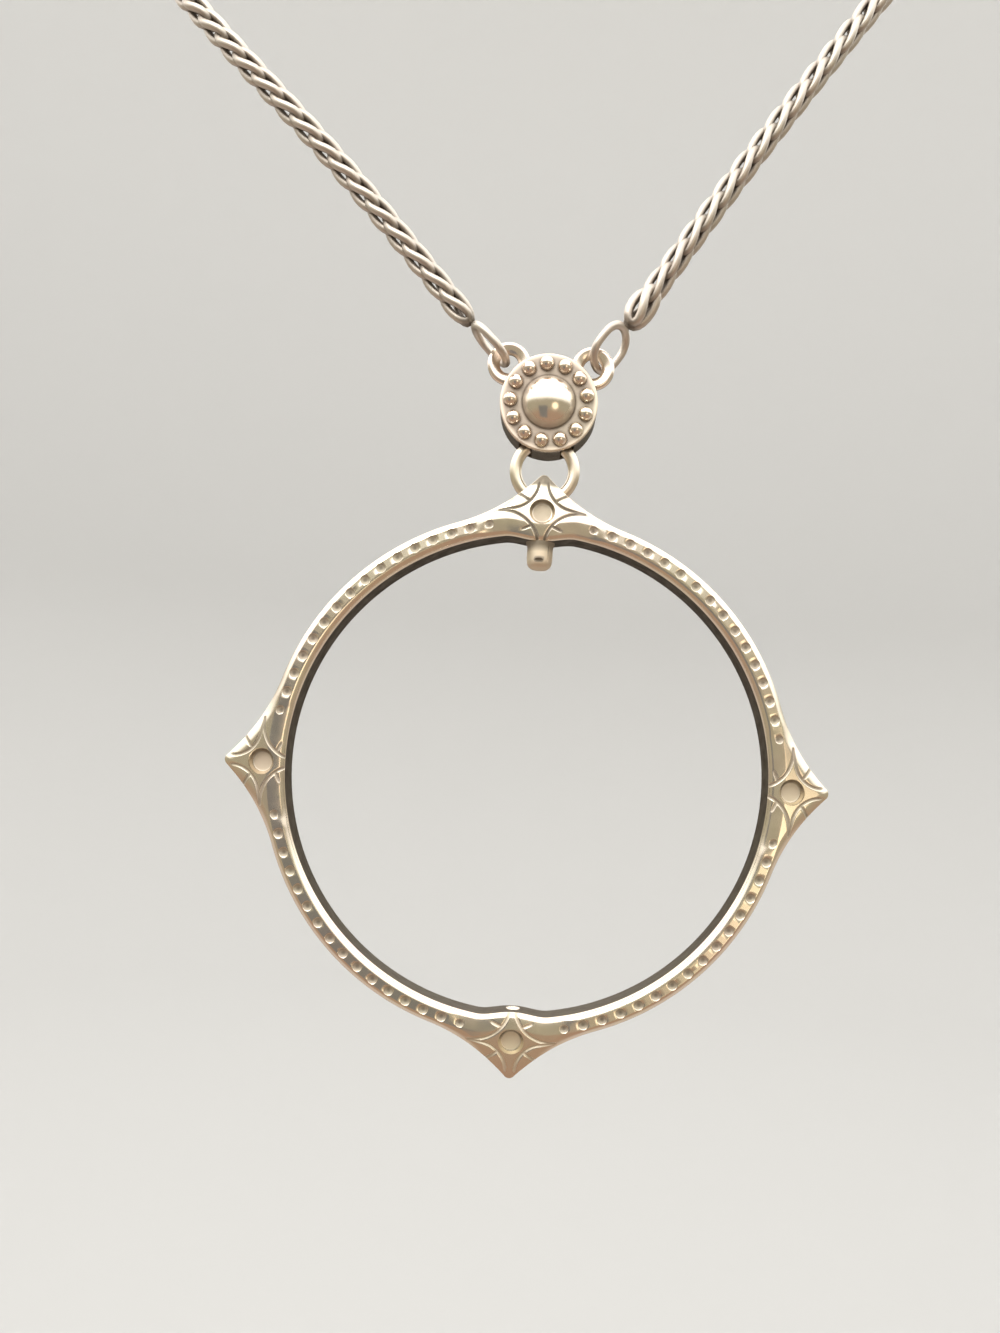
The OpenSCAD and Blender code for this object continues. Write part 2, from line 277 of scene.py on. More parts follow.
# %% The key light
KEY_PLACE = (-250, -420, 520)
KEY_SIZE = 260
KEY_POWER = 1.6
KEY_COLOUR = (1.0, 0.97, 0.92)
KEY_AIM_UP = 15


def soft_light(name, place, size, power):
    """A square soft light at a place in millimetres from the hoop's centre, turned towards the pendant."""
    data = bpy.data.lights.new(name, "AREA")
    data.size = size * MM
    data.energy = power
    data.color = KEY_COLOUR
    light = bpy.data.objects.new(name, data)
    light.location = (HOOP_CENTRE + np.array(place)) * MM
    sight = Vector(frontal(0, KEY_AIM_UP, 0) * MM) - light.location
    light.rotation_euler = sight.to_track_quat("-Z", "Y").to_euler()
    light.visible_camera = False
    bpy.context.scene.collection.objects.link(light)
    return light


key = soft_light("key", KEY_PLACE, KEY_SIZE, KEY_POWER)
print("key light", round((key.location - Vector(HOOP_CENTRE * MM)).length, 2), "m from the hoop")

# %% [markdown]
# The studio cove is one turned surface: a round floor that curves up into a wall. A smooth sweep has no
# line where the floor ends, and it stands far enough away to leave every view of the necklace clear. The
# camera sees it, but the mirrors of the metal don't: they show the room above.


# %% Meshes from grids
def grid_faces(rows, columns, wrap_rows=False, wrap_columns=False, flip=False):
    """Four-cornered faces between neighbouring points of a grid, joined round where it wraps."""
    last_row = rows if wrap_rows else rows - 1
    last_column = columns if wrap_columns else columns - 1
    i, j = np.meshgrid(np.arange(last_row), np.arange(last_column), indexing="ij")
    i2, j2 = (i + 1) % rows, (j + 1) % columns
    faces = np.stack([i * columns + j, i2 * columns + j, i2 * columns + j2, i * columns + j2], axis=-1)
    faces = faces.reshape(-1, 4)
    return faces[:, ::-1] if flip else faces


def make_piece(name, points, faces, material=None):
    """A smooth-shaded mesh object at the origin, from points in millimetres and lists of faces."""
    mesh = bpy.data.meshes.new(name)
    mesh.from_pydata((np.asarray(points) * MM).tolist(), [], [list(face) for face in faces])
    mesh.polygons.foreach_set("use_smooth", [True] * len(mesh.polygons))
    if material is not None:
        mesh.materials.append(material)
    piece = bpy.data.objects.new(name, mesh)
    bpy.context.scene.collection.objects.link(piece)
    return piece


def simple_material(name, colour, roughness):
    """One plain colour and one roughness, for what is not part of the pendant."""
    material = bpy.data.materials.new(name)
    material.use_nodes = True
    shader = material.node_tree.nodes["Principled BSDF"]
    shader.inputs["Base Color"].default_value = colour
    shader.inputs["Roughness"].default_value = roughness
    return material


# %% The pale cove
FLOOR_BELOW = 420.0
COVE_R = 2600.0
COVE_BEND = 900.0
COVE_TOP = 3200.0
PALE_PAPER = rgb(0.63, 0.625, 0.615)
MATT = 0.9
bend = np.linspace(0, math.pi / 2, 24)
flat_r = COVE_R - COVE_BEND
cove_r = np.concatenate([[1.0, flat_r], flat_r + COVE_BEND * np.sin(bend[1:]), [COVE_R]])
cove_up = np.concatenate([[0.0, 0.0], COVE_BEND * (1 - np.cos(bend[1:])), [COVE_TOP]])
turn = np.linspace(0, 2 * math.pi, 96, endpoint=False)[:, None]
cove_points = np.stack(
    [
        HOOP_CENTRE[0] + cove_r * np.cos(turn),
        HOOP_CENTRE[1] + cove_r * np.sin(turn),
        HOOP_CENTRE[2] - FLOOR_BELOW + cove_up + 0 * turn,
    ],
    axis=-1,
).reshape(-1, 3)
cove_faces = grid_faces(len(turn), len(cove_r), wrap_rows=True, flip=True).tolist()
cove_faces.append([k * len(cove_r) for k in range(len(turn))])
cove = make_piece("floor", cove_points, cove_faces, simple_material("pale_paper", PALE_PAPER, MATT))
cove.visible_glossy = False
print("cove:", len(cove_faces), "faces, floor", FLOOR_BELOW, "mm below the hoop's centre")

# %% [markdown]
# Polished domes mirror the place where the camera stands. A real camera is a dark shape there, so a small
# dark grey card stands just below and to the left of the lens. It gives off its own faint grey, is hidden
# from the camera and casts no shadow: only the mirrors show it.

# %% The dark card by the lens
CARD_X = (-70, -6)
CARD_UP = (-76, 20)
CARD_PAINT = rgb(0.02, 0.02, 0.02)
CARD_GLOW = rgb(0.21, 0.205, 0.2)
card_points = [frontal(x, up, MEASURED_PLANE + DISTANCE) for x in CARD_X for up in CARD_UP]
card_paint = simple_material("card_grey", CARD_PAINT, MATT)
card_shader = card_paint.node_tree.nodes["Principled BSDF"]
card_shader.inputs["Emission Color"].default_value = CARD_GLOW
card_shader.inputs["Emission Strength"].default_value = 1.0
card = make_piece("card", card_points, [(0, 1, 3, 2)], card_paint)
card.visible_camera = False
card.visible_shadow = False
card.visible_diffuse = False
print("card:", CARD_X[1] - CARD_X[0], "by", CARD_UP[1] - CARD_UP[0], "mm")

# %% [markdown]
# The hoop is one casting. Seen from the front it is a band whose edges are two outlines: the round opening,
# which swells inwards at the top and the bottom, and the outside, which rises to four ogee points. A polar
# grid follows both outlines: its columns turn round the centre and its rows step from the inner to the
# outer one. The face is a height that depends on how far a point is from each outline, so the bevels follow
# every curve.

# %% Measures of the outlines
HOOP_R = 26.4
BORE_R = 24.2
POINT_ROUND = 0.6
POINT_SPREAD = math.radians(18.5)
SWELL = 0.6
SWELL_HALF = 3.6
SEARCH = 0.5
HALVINGS = 40
tip = REACH - POINT_ROUND
tip_lift = tip * math.cos(POINT_SPREAD)
# A hollow side touches the round hoop and the round tip, both from outside. In the cosine rule for its
# middle, the tip's middle and the centre, the square of its radius falls out, which leaves this quotient.
side_r = HOOP_R**2 + tip**2 - 2 * HOOP_R * tip_lift - POINT_ROUND**2
side_r /= 2 * (tip_lift + POINT_ROUND - HOOP_R)
side_x = (HOOP_R + side_r) * math.sin(POINT_SPREAD)
side_up = (HOOP_R + side_r) * math.cos(POINT_SPREAD)
print("ogee sides are arcs of", round(side_r, 2), "mm")


# %% The outer outline
def about_point(x, up):
    """Turns every quarter of the hoop onto the upright point: distances aside and along the point's axis.

    The smaller of the sizes of x and up is the distance aside, the larger one the distance along.
    """
    aside = np.minimum(np.abs(x), np.abs(up))
    along = np.maximum(np.abs(x), np.abs(up))
    return aside, along


def from_outside(x, up):
    """How far a point lies inside the outer outline: from the round hoop, from a hollow side or from a tip.

    Each part is a circle, so each distance is a radius less the way to a middle, or the way less the radius
    where the circle is hollow. The slant line through the side's and the tip's middles parts the last two.
    """
    aside, along = about_point(x, up)
    round_part = HOOP_R - np.hypot(aside, along)
    hollow_part = np.hypot(aside - side_x, along - side_up) - side_r
    tip_part = POINT_ROUND - np.hypot(aside, along - tip)
    slant = (side_up - tip) / side_x
    at_tip = along - tip > slant * aside
    near_point = np.arctan2(aside, along) < POINT_SPREAD
    return np.where(near_point, np.where(at_tip, tip_part, hollow_part), round_part)


def outer_radius(angle):
    """The outer outline as a radius for each angle, found by halving a search interval again and again."""
    low = np.full_like(angle, HOOP_R - SEARCH)
    high = np.full_like(angle, REACH + SEARCH)
    for _ in range(HALVINGS):
        middle = (low + high) / 2
        inside = from_outside(middle * np.cos(angle), middle * np.sin(angle)) > 0
        low, high = np.where(inside, middle, low), np.where(inside, high, middle)
    return (low + high) / 2


# %% The inner outline
def swelling(x):
    """The opening's swelling at a distance x from the upright middle: its height times (1 - share²)²."""
    near = np.clip(np.abs(x) / SWELL_HALF, 0, 1)
    return SWELL * (1 - near**2) ** 2


def inner_radius(angle):
    """The inner outline as a radius for each angle: the bore's radius less the swelling."""
    return BORE_R - swelling(BORE_R * np.cos(angle))


places = np.array([0.0, math.pi / 4, math.pi / 2])
band = outer_radius(places) - inner_radius(places)
print("band's width at a side point, between two points and at the top", np.round(band, 2), "mm")

# %% [markdown]
# The section of the band was read from how it catches the light. It is flat along the middle, where the
# dimples sit, and rounds down in a soft lip to the opening and in a steeper edge to the outside. Beside
# each star the crest moves outwards and leaves a facet on the inner side, and the star's own field slopes
# away gently to the point. All of it is one sum: the crest's height less a drop for each of these.

# %% Measures of the face
# Each has a value for the band, and where it differs one for the stars. Widths and drops belong to the outer
# edge and the inner lip. CREST_IN is how far the crest lies from the opening, and a zone is the distance
# aside from a point's axis over which the band turns into a star.
EDGE_H = 1.1
EDGE_W = 0.7
STAR_EDGE_W = 0.95
EDGE_POWER = 1.8
LEAST_EDGE_DROP = 0.26
LIP_W = 0.75
LIP_DROP = 0.55
LIP_POWER = 2.5
STAR_LIP_W = 0.5
STAR_LIP_DROP = 0.3
CREST_IN = 1.15
STAR_CREST_IN = 1.58
STAR_ZONE = (7.2, 4.8)
FACET_ZONE = (6.2, 5.5)
FACET_SLOPE = 0.08
FACET_CURVE = 0.07
FIELD_SLOPE = 0.12
CREST_ROUND = 0.06


def smooth_step(value, low, high):
    """0 at low, 1 at high, with a smooth start and end: s * s * (3 - 2 * s) of the share s between them."""
    share = np.clip((value - low) / (high - low), 0, 1)
    return share * share * (3 - 2 * share)


def beyond(distance, rounding):
    """The distance where it is above 0 and 0 below, its corner rounded: half of (d + root of d² + r²)."""
    return 0.5 * (distance + np.sqrt(distance**2 + rounding**2))


def blend(share, a, b):
    """a where share is 0 and b where it is 1: a + (b - a) * share."""
    return a + (b - a) * share


# %% The smooth face
def smooth_face(x, up):
    """The face's height without its lines: the crest less the facet, the field's slope, the lip, the edge.

    The lip and the edge are each a full drop times a power of the share of their width that is left.
    """
    aside, along = about_point(x, up)
    from_inner = np.hypot(x, up) - inner_radius(np.arctan2(up, x))
    from_outer = from_outside(x, up)
    at_star = smooth_step(aside, *STAR_ZONE)
    at_facet = smooth_step(aside, *FACET_ZONE)
    past_crest = from_inner - blend(at_star, CREST_IN, STAR_CREST_IN)
    inward = beyond(-past_crest, CREST_ROUND)
    top = CREST - at_facet * (FACET_SLOPE * inward + FACET_CURVE * inward**2)
    top -= at_star * FIELD_SLOPE * beyond(past_crest, CREST_ROUND)
    lip_share = np.clip(1 - from_inner / blend(at_facet, LIP_W, STAR_LIP_W), 0, 1)
    lip = blend(at_facet, LIP_DROP, STAR_LIP_DROP) * lip_share**LIP_POWER
    edge_share = np.clip(1 - from_outer / blend(at_star, EDGE_W, STAR_EDGE_W), 0, 1)
    edge = np.maximum(top - EDGE_H, LEAST_EDGE_DROP) * edge_share**EDGE_POWER
    return top - lip - edge


tip_height = float(smooth_face(0.0, tip))
print("height of the crest", round(CREST, 2), "mm, of a point's tip", round(tip_height, 2), "mm")

# %% [markdown]
# The star on each point is engraved: four hollow sides drawn with a graver, and short strokes that run from
# them to the edges. A graver leaves a V, so a line's depth falls off evenly with the distance from its
# path.

# %% The star's lines
RECESS_AT = 26.45
RECESS_R = 1.24
RECESS_DEPTH = 0.55
UPPER_ARC = ((3.34, 29.47), 2.87)
LOWER_ARC = ((3.85, 22.73), 3.63)
SIDE_TIP = (4.3, 26.4)


def arc(circle, first, last, count=14):
    """Points on part of a circle given by its middle and radius, between two angles in degrees."""
    (x, up), radius = circle
    angle = np.radians(np.linspace(first, last, count))
    return np.stack([x + radius * np.cos(angle), up + radius * np.sin(angle)], axis=-1)


upper_side = np.vstack([arc(UPPER_ARC, 176, 266), [(3.7, 26.5), SIDE_TIP]])
lower_side = np.vstack([arc(LOWER_ARC, 168, 104), [(3.6, 26.36), SIDE_TIP]])
outer_stroke = np.array([(1.3, 27.46), (1.7, 27.78), (2.1, 28.08), (2.7, 28.5)])
inner_stroke = np.array([(1.0, 24.98), (1.4, 24.82), (1.75, 24.66), (2.1, 24.5)])
# Each path, and over how many millimetres the line fades in at its start and out at its end.
STAR_LINES = [(upper_side, 0.5, 0.0), (lower_side, 0.3, 0.0)]
STAR_LINES += [(outer_stroke, 0.0, 0.6), (inner_stroke, 0.0, 0.5)]
print("a star has", 2 * len(STAR_LINES), "lines, its side tips", 2 * SIDE_TIP[0], "mm apart")

# %% Depth of the lines
LINE_HALF = 0.19
LINE_DEPTH = 0.12
LINE_SOFT = 0.03
FADE_LEAST = 0.05
STAR_MARGIN = 0.5
STAR_FOOT = 23


def line_depth(aside, along):
    """Depth of the graver's lines, from the distance to the nearest path; a line fades at its ends.

    The foot of a point on a stretch lies at the share ((point - start) · step) / size², kept from 0 to 1.
    The depth is the full one times (1 - gap / half width), times the share of the fade already travelled.
    """
    depth = np.zeros(np.shape(aside))
    near = (aside < SIDE_TIP[0] + STAR_MARGIN) & (along > STAR_FOOT)
    point = np.stack([aside[near], along[near]], axis=-1)[:, None]
    for path, fade_in, fade_out in STAR_LINES:
        start, step = path[:-1], np.diff(path, axis=0)
        size = np.hypot(step[:, 0], step[:, 1])
        share = np.clip(((point - start) * step).sum(axis=-1) / size**2, 0, 1)
        gap = np.linalg.norm(point - start - share[..., None] * step, axis=-1)
        closest = gap.argmin(axis=1)
        row = np.arange(len(closest))
        travelled = (np.cumsum(size) - size)[closest] + share[row, closest] * size[closest]
        shape = np.clip(1 - np.hypot(gap[row, closest], LINE_SOFT) / LINE_HALF, 0, 1)
        fade = np.clip((travelled + FADE_LEAST) / (fade_in + FADE_LEAST), 0, 1)
        fade *= np.clip((size.sum() - travelled + FADE_LEAST) / (fade_out + FADE_LEAST), 0, 1)
        depth[near] = np.maximum(depth[near], LINE_DEPTH * shape * fade)
    return depth


def face_height(x, up):
    """Height of the hoop's front over its middle plane: the smooth face less its engraved lines."""
    return smooth_face(x, up) - line_depth(*about_point(x, up))


print("deepest place on a star's upper side", round(float(line_depth(*upper_side.T).max()), 3), "mm")

# %% [markdown]
# The blank is the hoop before its holes are cut. One closed grid goes round it: the front rows at the
# face's height, then down the outer wall, across the flat back and up the inner wall to the first row
# again. The columns stand closer together at the points, where the engraving is fine.

# %% Measures of the blank
POINT_COLUMNS = 156
BAND_COLUMNS = 60
POINT_ZONE = math.radians(11)
FRONT_ROWS = 78
BACK_BEVEL = 0.25
CLOSER_AT_POINTS = 0.15
CLOSER_AT_EDGES = 0.2
# Rows of the walls and the back: share of the way out, shift outwards, height.
OUTER_WALL = [(1.0, 0.0, 0.6), (1.0, 0.0, -0.4), (1.0, 0.0, BACK_BEVEL - CREST), (1.0, -BACK_BEVEL, -CREST)]
BACK = [(share, 0.0, -CREST) for share in (0.75, 0.5, 0.25)]
INNER_WALL = [(0.0, BACK_BEVEL, -CREST), (0.0, 0.0, BACK_BEVEL - CREST)]
INNER_WALL += [(0.0, 0.0, height) for height in (-1.0, -0.4, 0.2, 0.8, 1.05)]
print("columns in a quarter of the hoop:", POINT_COLUMNS + BAND_COLUMNS)


# %% Columns and rows of the blank
def hoop_angles():
    """Angles of the grid's columns, closer together at the four points by a share of a cube."""
    close = np.linspace(-1, 1, POINT_COLUMNS, endpoint=False)
    close = POINT_ZONE * ((1 - CLOSER_AT_POINTS) * close + CLOSER_AT_POINTS * close**3)
    wide = np.linspace(POINT_ZONE, math.pi / 2 - POINT_ZONE, BAND_COLUMNS, endpoint=False)
    quarter = np.concatenate([close, wide])
    return np.concatenate([quarter + k * math.pi / 2 for k in range(4)])


def hoop_rows():
    """Shares of the way from the inner to the outer outline, closer at the edges by part of a half cosine."""
    even = np.linspace(0, 1, FRONT_ROWS)
    return (1 - CLOSER_AT_EDGES) * even + CLOSER_AT_EDGES * (1 - np.cos(math.pi * even)) / 2


# %% The hoop's blank
def hoop_blank():
    """Front rows at the face's height, then the outer wall, the flat back and the inner wall.

    Each row's radius is inner + share * (outer - inner) + shift, and its place is that radius times the
    cosine and the sine of the column's angle.
    """
    angle = hoop_angles()[:, None]
    inner, outer = inner_radius(angle), outer_radius(angle)
    share = hoop_rows()[None, :]
    front_r = inner + share * (outer - inner)
    front_h = face_height(front_r * np.cos(angle), front_r * np.sin(angle))
    walls = OUTER_WALL + BACK + INNER_WALL
    wall_r = np.concatenate([inner + s * (outer - inner) + shift for s, shift, _ in walls], axis=1)
    wall_h = np.concatenate([np.full_like(inner, h) for _, _, h in walls], axis=1)
    radius = np.concatenate([front_r, wall_r], axis=1)
    height = np.concatenate([front_h, wall_h], axis=1)
    points = frontal(radius * np.cos(angle), radius * np.sin(angle), height)
    rows, columns = radius.shape
    return points.reshape(-1, 3), grid_faces(rows, columns, wrap_rows=True, wrap_columns=True).tolist()


hoop_points, hoop_faces = hoop_blank()
hoop = make_piece("hoop", hoop_points, hoop_faces)
print("blank:", len(hoop_points), "points,", len(hoop_faces), "faces")

# %% [markdown]
# What has a crisp edge is cut with real cutters and a Boolean modifier: a round punch for the dimples, a
# flat drill for the recess, and the way for the jump ring. Cutters are closed solids, and the Manifold
# solver keeps the hoop closed. Every cutter is made lying in the pendant's plane and then set in its place.


# %% Turned solids
POLE = 0.001


def turned(profile, turns, centre=(0.0, 0.0), rise=0.0, ring=False):
    """A profile of (radius, height) rows turned about an axis towards the viewer.

    x and up are the centre plus the radius times the cosine and the sine of the turn. A ring's profile closes
    on itself. A solid's starts and ends a hair from the axis, where two caps close it.
    """
    profile = np.asarray(profile, float)
    angle = np.linspace(0, 2 * math.pi, turns, endpoint=False)[:, None]
    x = centre[0] + profile[:, 0] * np.cos(angle)
    up = centre[1] + profile[:, 0] * np.sin(angle)
    points = np.stack([x, up, rise + profile[:, 1] + 0 * angle], axis=-1)
    rows, columns = points.shape[:2]
    faces = grid_faces(rows, columns, wrap_rows=True, wrap_columns=ring).tolist()
    if not ring:
        faces.append([k * columns for k in range(rows)][::-1])
        faces.append([k * columns + columns - 1 for k in range(rows)])
    return points.reshape(-1, 3), faces


def in_plane(points, quarter=0):
    """Turns flat points by quarters of a turn and sets them in the frame."""
    cos, sin = round(math.cos(quarter * math.pi / 2)), round(math.sin(quarter * math.pi / 2))
    x = points[:, 0] * cos - points[:, 1] * sin
    up = points[:, 0] * sin + points[:, 1] * cos
    return frontal(x, up, points[:, 2])


# %% Joining and cutting
def gather(solids):
    """Several point and face lists as one."""
    points, faces, offset = [], [], 0
    for solid_points, solid_faces in solids:
        points.append(solid_points)
        faces += [[k + offset for k in face] for face in solid_faces]
        offset += len(solid_points)
    return np.concatenate(points), faces


def face_out(points, faces):
    """Turns the faces round where the solid is inside out, which is where its volume comes out negative.

    Six times the volume is the sum of first · (b x c) over all triangles.
    """
    volume = 0.0
    for face in faces:
        first = points[face[0]]
        for b, c in zip(face[1:-1], face[2:]):
            volume += np.dot(first, np.cross(points[b], points[c]))
    return faces if volume > 0 else [list(face)[::-1] for face in faces]


def combine(piece, operation, solids):
    """Cuts or joins solids with a piece, one Manifold Boolean for each, and keeps the result as its mesh."""
    for points, faces in solids:
        tool = make_piece("tool", points, face_out(points, faces))
        modifier = piece.modifiers.new("combine", "BOOLEAN")
        modifier.operation = operation
        modifier.solver = "MANIFOLD"
        modifier.object = tool
        bpy.context.view_layer.update()
        result = bpy.data.meshes.new_from_object(piece.evaluated_get(bpy.context.evaluated_depsgraph_get()))
        piece.modifiers.remove(modifier)
        piece.data = result
        bpy.data.objects.remove(tool)


# %% [markdown]
# The metal is a pale champagne gold. Its colour drifts a little between rosy and straw, because old polish
# and skin oil stain it. Hollows keep a brown film that no cloth reaches, and the same brown is painted as
# shade, and once as a dark reflection, in other places: how dark each place is, is stored on the mesh as an
# attribute, and how matt it was left as satin. The finer marks are bumps: a grain, a cloud of wear and long
# scratches, which are a noise stretched in one direction.

# %% Measures of the finish
DRIFT_SCALE = 260.0
DRIFT_EDGES = (0.35, 0.65)
CLOUD_SCALE = 900.0
CLOUD_TONE = 0.14
CLOUD_DARK = 0.5
CLOUD_ROUGH = 0.16
CLOUD_RELIEF = 0.25
GRAIN_SCALE = 9000.0
GRAIN_RELIEF = 0.05
SATIN_RELIEF = 0.5
SATIN_ROUGH = 0.5
FILM_AND_SHADE_BROWN = rgb(0.065, 0.045, 0.03)
DARK_DULL = 0.2
DARK_ROUGH = 0.15
ROUGH_LIMITS = (0.06, 0.8)
SCRATCH_TURN = (0.3, 0.2, 0.6)
SCRATCH_SCALE = (700.0, 700.0, 9000.0)
SCRATCH_RELIEF = 0.12
RELIEF_STRENGTH = 0.35
RELIEF_DEPTH = 0.02


def swayed(noise, amount):
    """A factor about 1 that follows a noise about one half: 1 - amount / 2 + noise * amount."""
    return (1 - amount / 2) + noise * amount


# %% What a mesh stores, and the bumps
def stored(graph, name):
    """The number that a mesh stores for each vertex under a name, 0 where it stores none."""
    return graph.node("ShaderNodeAttribute", {"attribute_name": name}, output="Fac")


def relief(graph, place, cloud, satin):
    """The bump of scratches, grain and cloud: each noise times its height, the grain higher where matt."""
    inputs = {"Vector": place, "Rotation": SCRATCH_TURN, "Scale": SCRATCH_SCALE}
    scratches = graph.noise(graph.node("ShaderNodeMapping", inputs=inputs), 1.0, detail=2.0)
    grain = graph.noise(place, GRAIN_SCALE, detail=2.0)
    height = scratches * SCRATCH_RELIEF + grain * (GRAIN_RELIEF + satin * SATIN_RELIEF) + cloud * CLOUD_RELIEF
    inputs = {"Strength": RELIEF_STRENGTH, "Distance": RELIEF_DEPTH * MM, "Height": height}
    return graph.node("ShaderNodeBump", inputs=inputs)


# %% The metal's finish
def metal(name, colour, rosy, roughness):
    """A worn polished metal that reads two attributes: its brown of film and painted shade, and its satin.

    Colour: the two tones mixed by a slow noise, times a factor that sways about 1, under the brown of the
    film and of the painted shade. Roughness: the metal's own, plus a sway about 0, plus half of satin and a
    little of that brown.
    """
    material = bpy.data.materials.new(name)
    material.use_nodes = True
    tree = material.node_tree
    graph = Graph(tree)
    place = graph.node("ShaderNodeTexCoord", output="Object")
    tarnish, satin = stored(graph, "tarnish"), stored(graph, "satin")
    drift = graph.noise(place, DRIFT_SCALE, detail=2.0).step(*DRIFT_EDGES)
    cloud = graph.noise(place, CLOUD_SCALE, detail=4.0)
    tone = graph.scale(graph.mix(drift, rgb(*colour), rgb(*rosy)), swayed(cloud, CLOUD_TONE))
    # Film in the hollows and painted shade: the stored darkness mixes the tone towards one brown.
    tone = graph.mix((tarnish * swayed(cloud, CLOUD_DARK)).between(0.0, 1.0), tone, FILM_AND_SHADE_BROWN)
    rough = roughness + (cloud - 0.5) * CLOUD_ROUGH + satin * SATIN_ROUGH + tarnish * DARK_ROUGH
    shader = tree.nodes["Principled BSDF"]
    plug(tree, shader.inputs["Base Color"], tone)
    plug(tree, shader.inputs["Metallic"], 1 - tarnish.between(0.0, 1.0) * DARK_DULL)
    plug(tree, shader.inputs["Roughness"], rough.between(*ROUGH_LIMITS))
    plug(tree, shader.inputs["Normal"], relief(graph, place, cloud, satin))
    return material


hoop_metal = metal("hoop_metal", (0.87, 0.79, 0.63), (0.86, 0.75, 0.62), 0.2)
ring_metal = metal("ring_metal", (0.80, 0.72, 0.56), (0.80, 0.69, 0.56), 0.32)
rosette_metal = metal("rosette_metal", (0.88, 0.79, 0.65), (0.88, 0.76, 0.65), 0.17)
chain_metal = metal("chain_metal", (0.66, 0.605, 0.53), (0.67, 0.595, 0.525), 0.45)
clasp_metal = metal("clasp_metal", (0.77, 0.70, 0.58), (0.78, 0.68, 0.58), 0.25)
print("metals:", len(hoop_metal.node_tree.nodes), "nodes in each")


# %% Putting a finish on a piece
def finish_mesh(piece, material, smooth_angle):
    """One material on every face, and smooth shading that breaks at sharp edges."""
    mesh = piece.data
    mesh.materials.clear()
    mesh.materials.append(material)
    mesh.polygons.foreach_set("material_index", [0] * len(mesh.polygons))
    mesh.polygons.foreach_set("use_smooth", [True] * len(mesh.polygons))
    mesh.set_sharp_from_angle(angle=math.radians(smooth_angle))


def set_field(piece, name, values):
    """Stores one number for each vertex, which a material reads through an Attribute node."""
    attribute = piece.data.attributes.new(name, "FLOAT", "POINT")
    attribute.data.foreach_set("value", np.asarray(values, np.float32))


def local(piece):
    """Vertices as distances from the hoop's centre: right, up and out towards the viewer."""
    flat = np.empty(len(piece.data.vertices) * 3, np.float32)
    piece.data.vertices.foreach_get("co", flat)
    points = flat.reshape(-1, 3).astype(float) / MM - HOOP_CENTRE
    return points[:, 0], points[:, 2], -points[:, 1]


# %% [markdown]
# The dimples are struck with a ball punch, sixteen in each quarter. The punch is an arc of the ball's
# section up to the dimple's edge, and then a flare that breaks the sharp rim as wear does. The recess in
# each star is drilled with a flat drill: a floor, a rounded corner and the same broken rim.

# %% The punch and the drill
CUTTER_TOP = 0.4
DIMPLES = 16
DIMPLE_PITCH = math.radians(4.43)
DIMPLE_AT = 25.3
DIMPLE_R = 0.5
DIMPLE_DEPTH = 0.16
DIMPLE_POLE = 0.0001
DIMPLE_SINK = 0.01
DIMPLE_RIM = [(0.06, 0.035), (0.2, CUTTER_TOP)]
ball_r = (DIMPLE_R**2 + DIMPLE_DEPTH**2) / (2 * DIMPLE_DEPTH)
ball_angle = np.linspace(0, math.asin(DIMPLE_R / ball_r), 7)[1:]
dimple_profile = [(DIMPLE_POLE, -DIMPLE_DEPTH)]
dimple_profile += [(ball_r * math.sin(a), ball_r * (1 - math.cos(a)) - DIMPLE_DEPTH) for a in ball_angle]
dimple_profile += [(DIMPLE_R + past, height) for past, height in DIMPLE_RIM] + [(DIMPLE_POLE, CUTTER_TOP)]
RECESS_FLOOR_R = 0.88
RECESS_CORNER = [(1.0, 0.03), (1.08, 0.12), (1.14, 0.24), (1.19, 0.38)]
RECESS_RIM = [(0.0, -0.06), (0.05, 0.03), (0.3, CUTTER_TOP)]
recess_profile = [(POLE, -RECESS_DEPTH), (RECESS_FLOOR_R, -RECESS_DEPTH)]
recess_profile += [(r, height - RECESS_DEPTH) for r, height in RECESS_CORNER]
recess_profile += [(RECESS_R + past, height) for past, height in RECESS_RIM] + [(POLE, CUTTER_TOP)]
print("the punch is a ball of", round(ball_r, 2), "mm")


# %% Striking the dimples and drilling the recesses
def dimple_cutters(quarter):
    """The punches of one quarter: even steps of angle, half of them on each side of the diagonal."""
    first = math.pi / 4 - DIMPLE_PITCH * (DIMPLES - 1) / 2 + quarter * math.pi / 2
    cutters = []
    for k in range(DIMPLES):
        angle = first + k * DIMPLE_PITCH
        centre = (DIMPLE_AT * math.cos(angle), DIMPLE_AT * math.sin(angle))
        points, faces = turned(dimple_profile, turns=24, centre=centre, rise=CREST - DIMPLE_SINK)
        cutters.append((in_plane(points), faces))
    return cutters


def recess_drill(quarter):
    """The drill in one star, leant to follow the field: its height less the field's slope times the way."""
    field = float(smooth_face(0.0, RECESS_AT))
    points, faces = turned(recess_profile, turns=64, centre=(0.0, RECESS_AT), rise=field)
    points[:, 2] -= FIELD_SLOPE * (points[:, 1] - RECESS_AT)
    return in_plane(points, quarter), faces


for quarter in range(4):
    combine(hoop, "DIFFERENCE", [gather(dimple_cutters(quarter)), recess_drill(quarter)])
    print("after quarter", quarter, len(hoop.data.vertices), "vertices")

# %% [markdown]
# The top point lets the jump ring through a curved slot, which is the ring's own path made a little wider.
# Low on the inner wall, opposite the peg, a shallow round seat is ground with a ball.

# %% The ring's way and the seat
RING_ROOM = 0.12
WAY_IN_HOOP = 0.94
SEAT_R = 1.09
SEAT_DEPTH = 0.35
SEAT_OUT = -0.6


def ring_way(half_height):
    """The way that the jump ring takes through a solid: the wire's half width and some room on both sides."""
    half = RING_WIRE / 2 + RING_ROOM
    low, high = RING_R - half, RING_R + half
    profile = [(low, -half_height), (high, -half_height), (high, half_height), (low, half_height)]
    ring_up = RING_CENTRE[2] - HOOP_CENTRE[2]
    points, faces = turned(profile, turns=72, centre=(0.0, ring_up), ring=True)
    return in_plane(points), faces


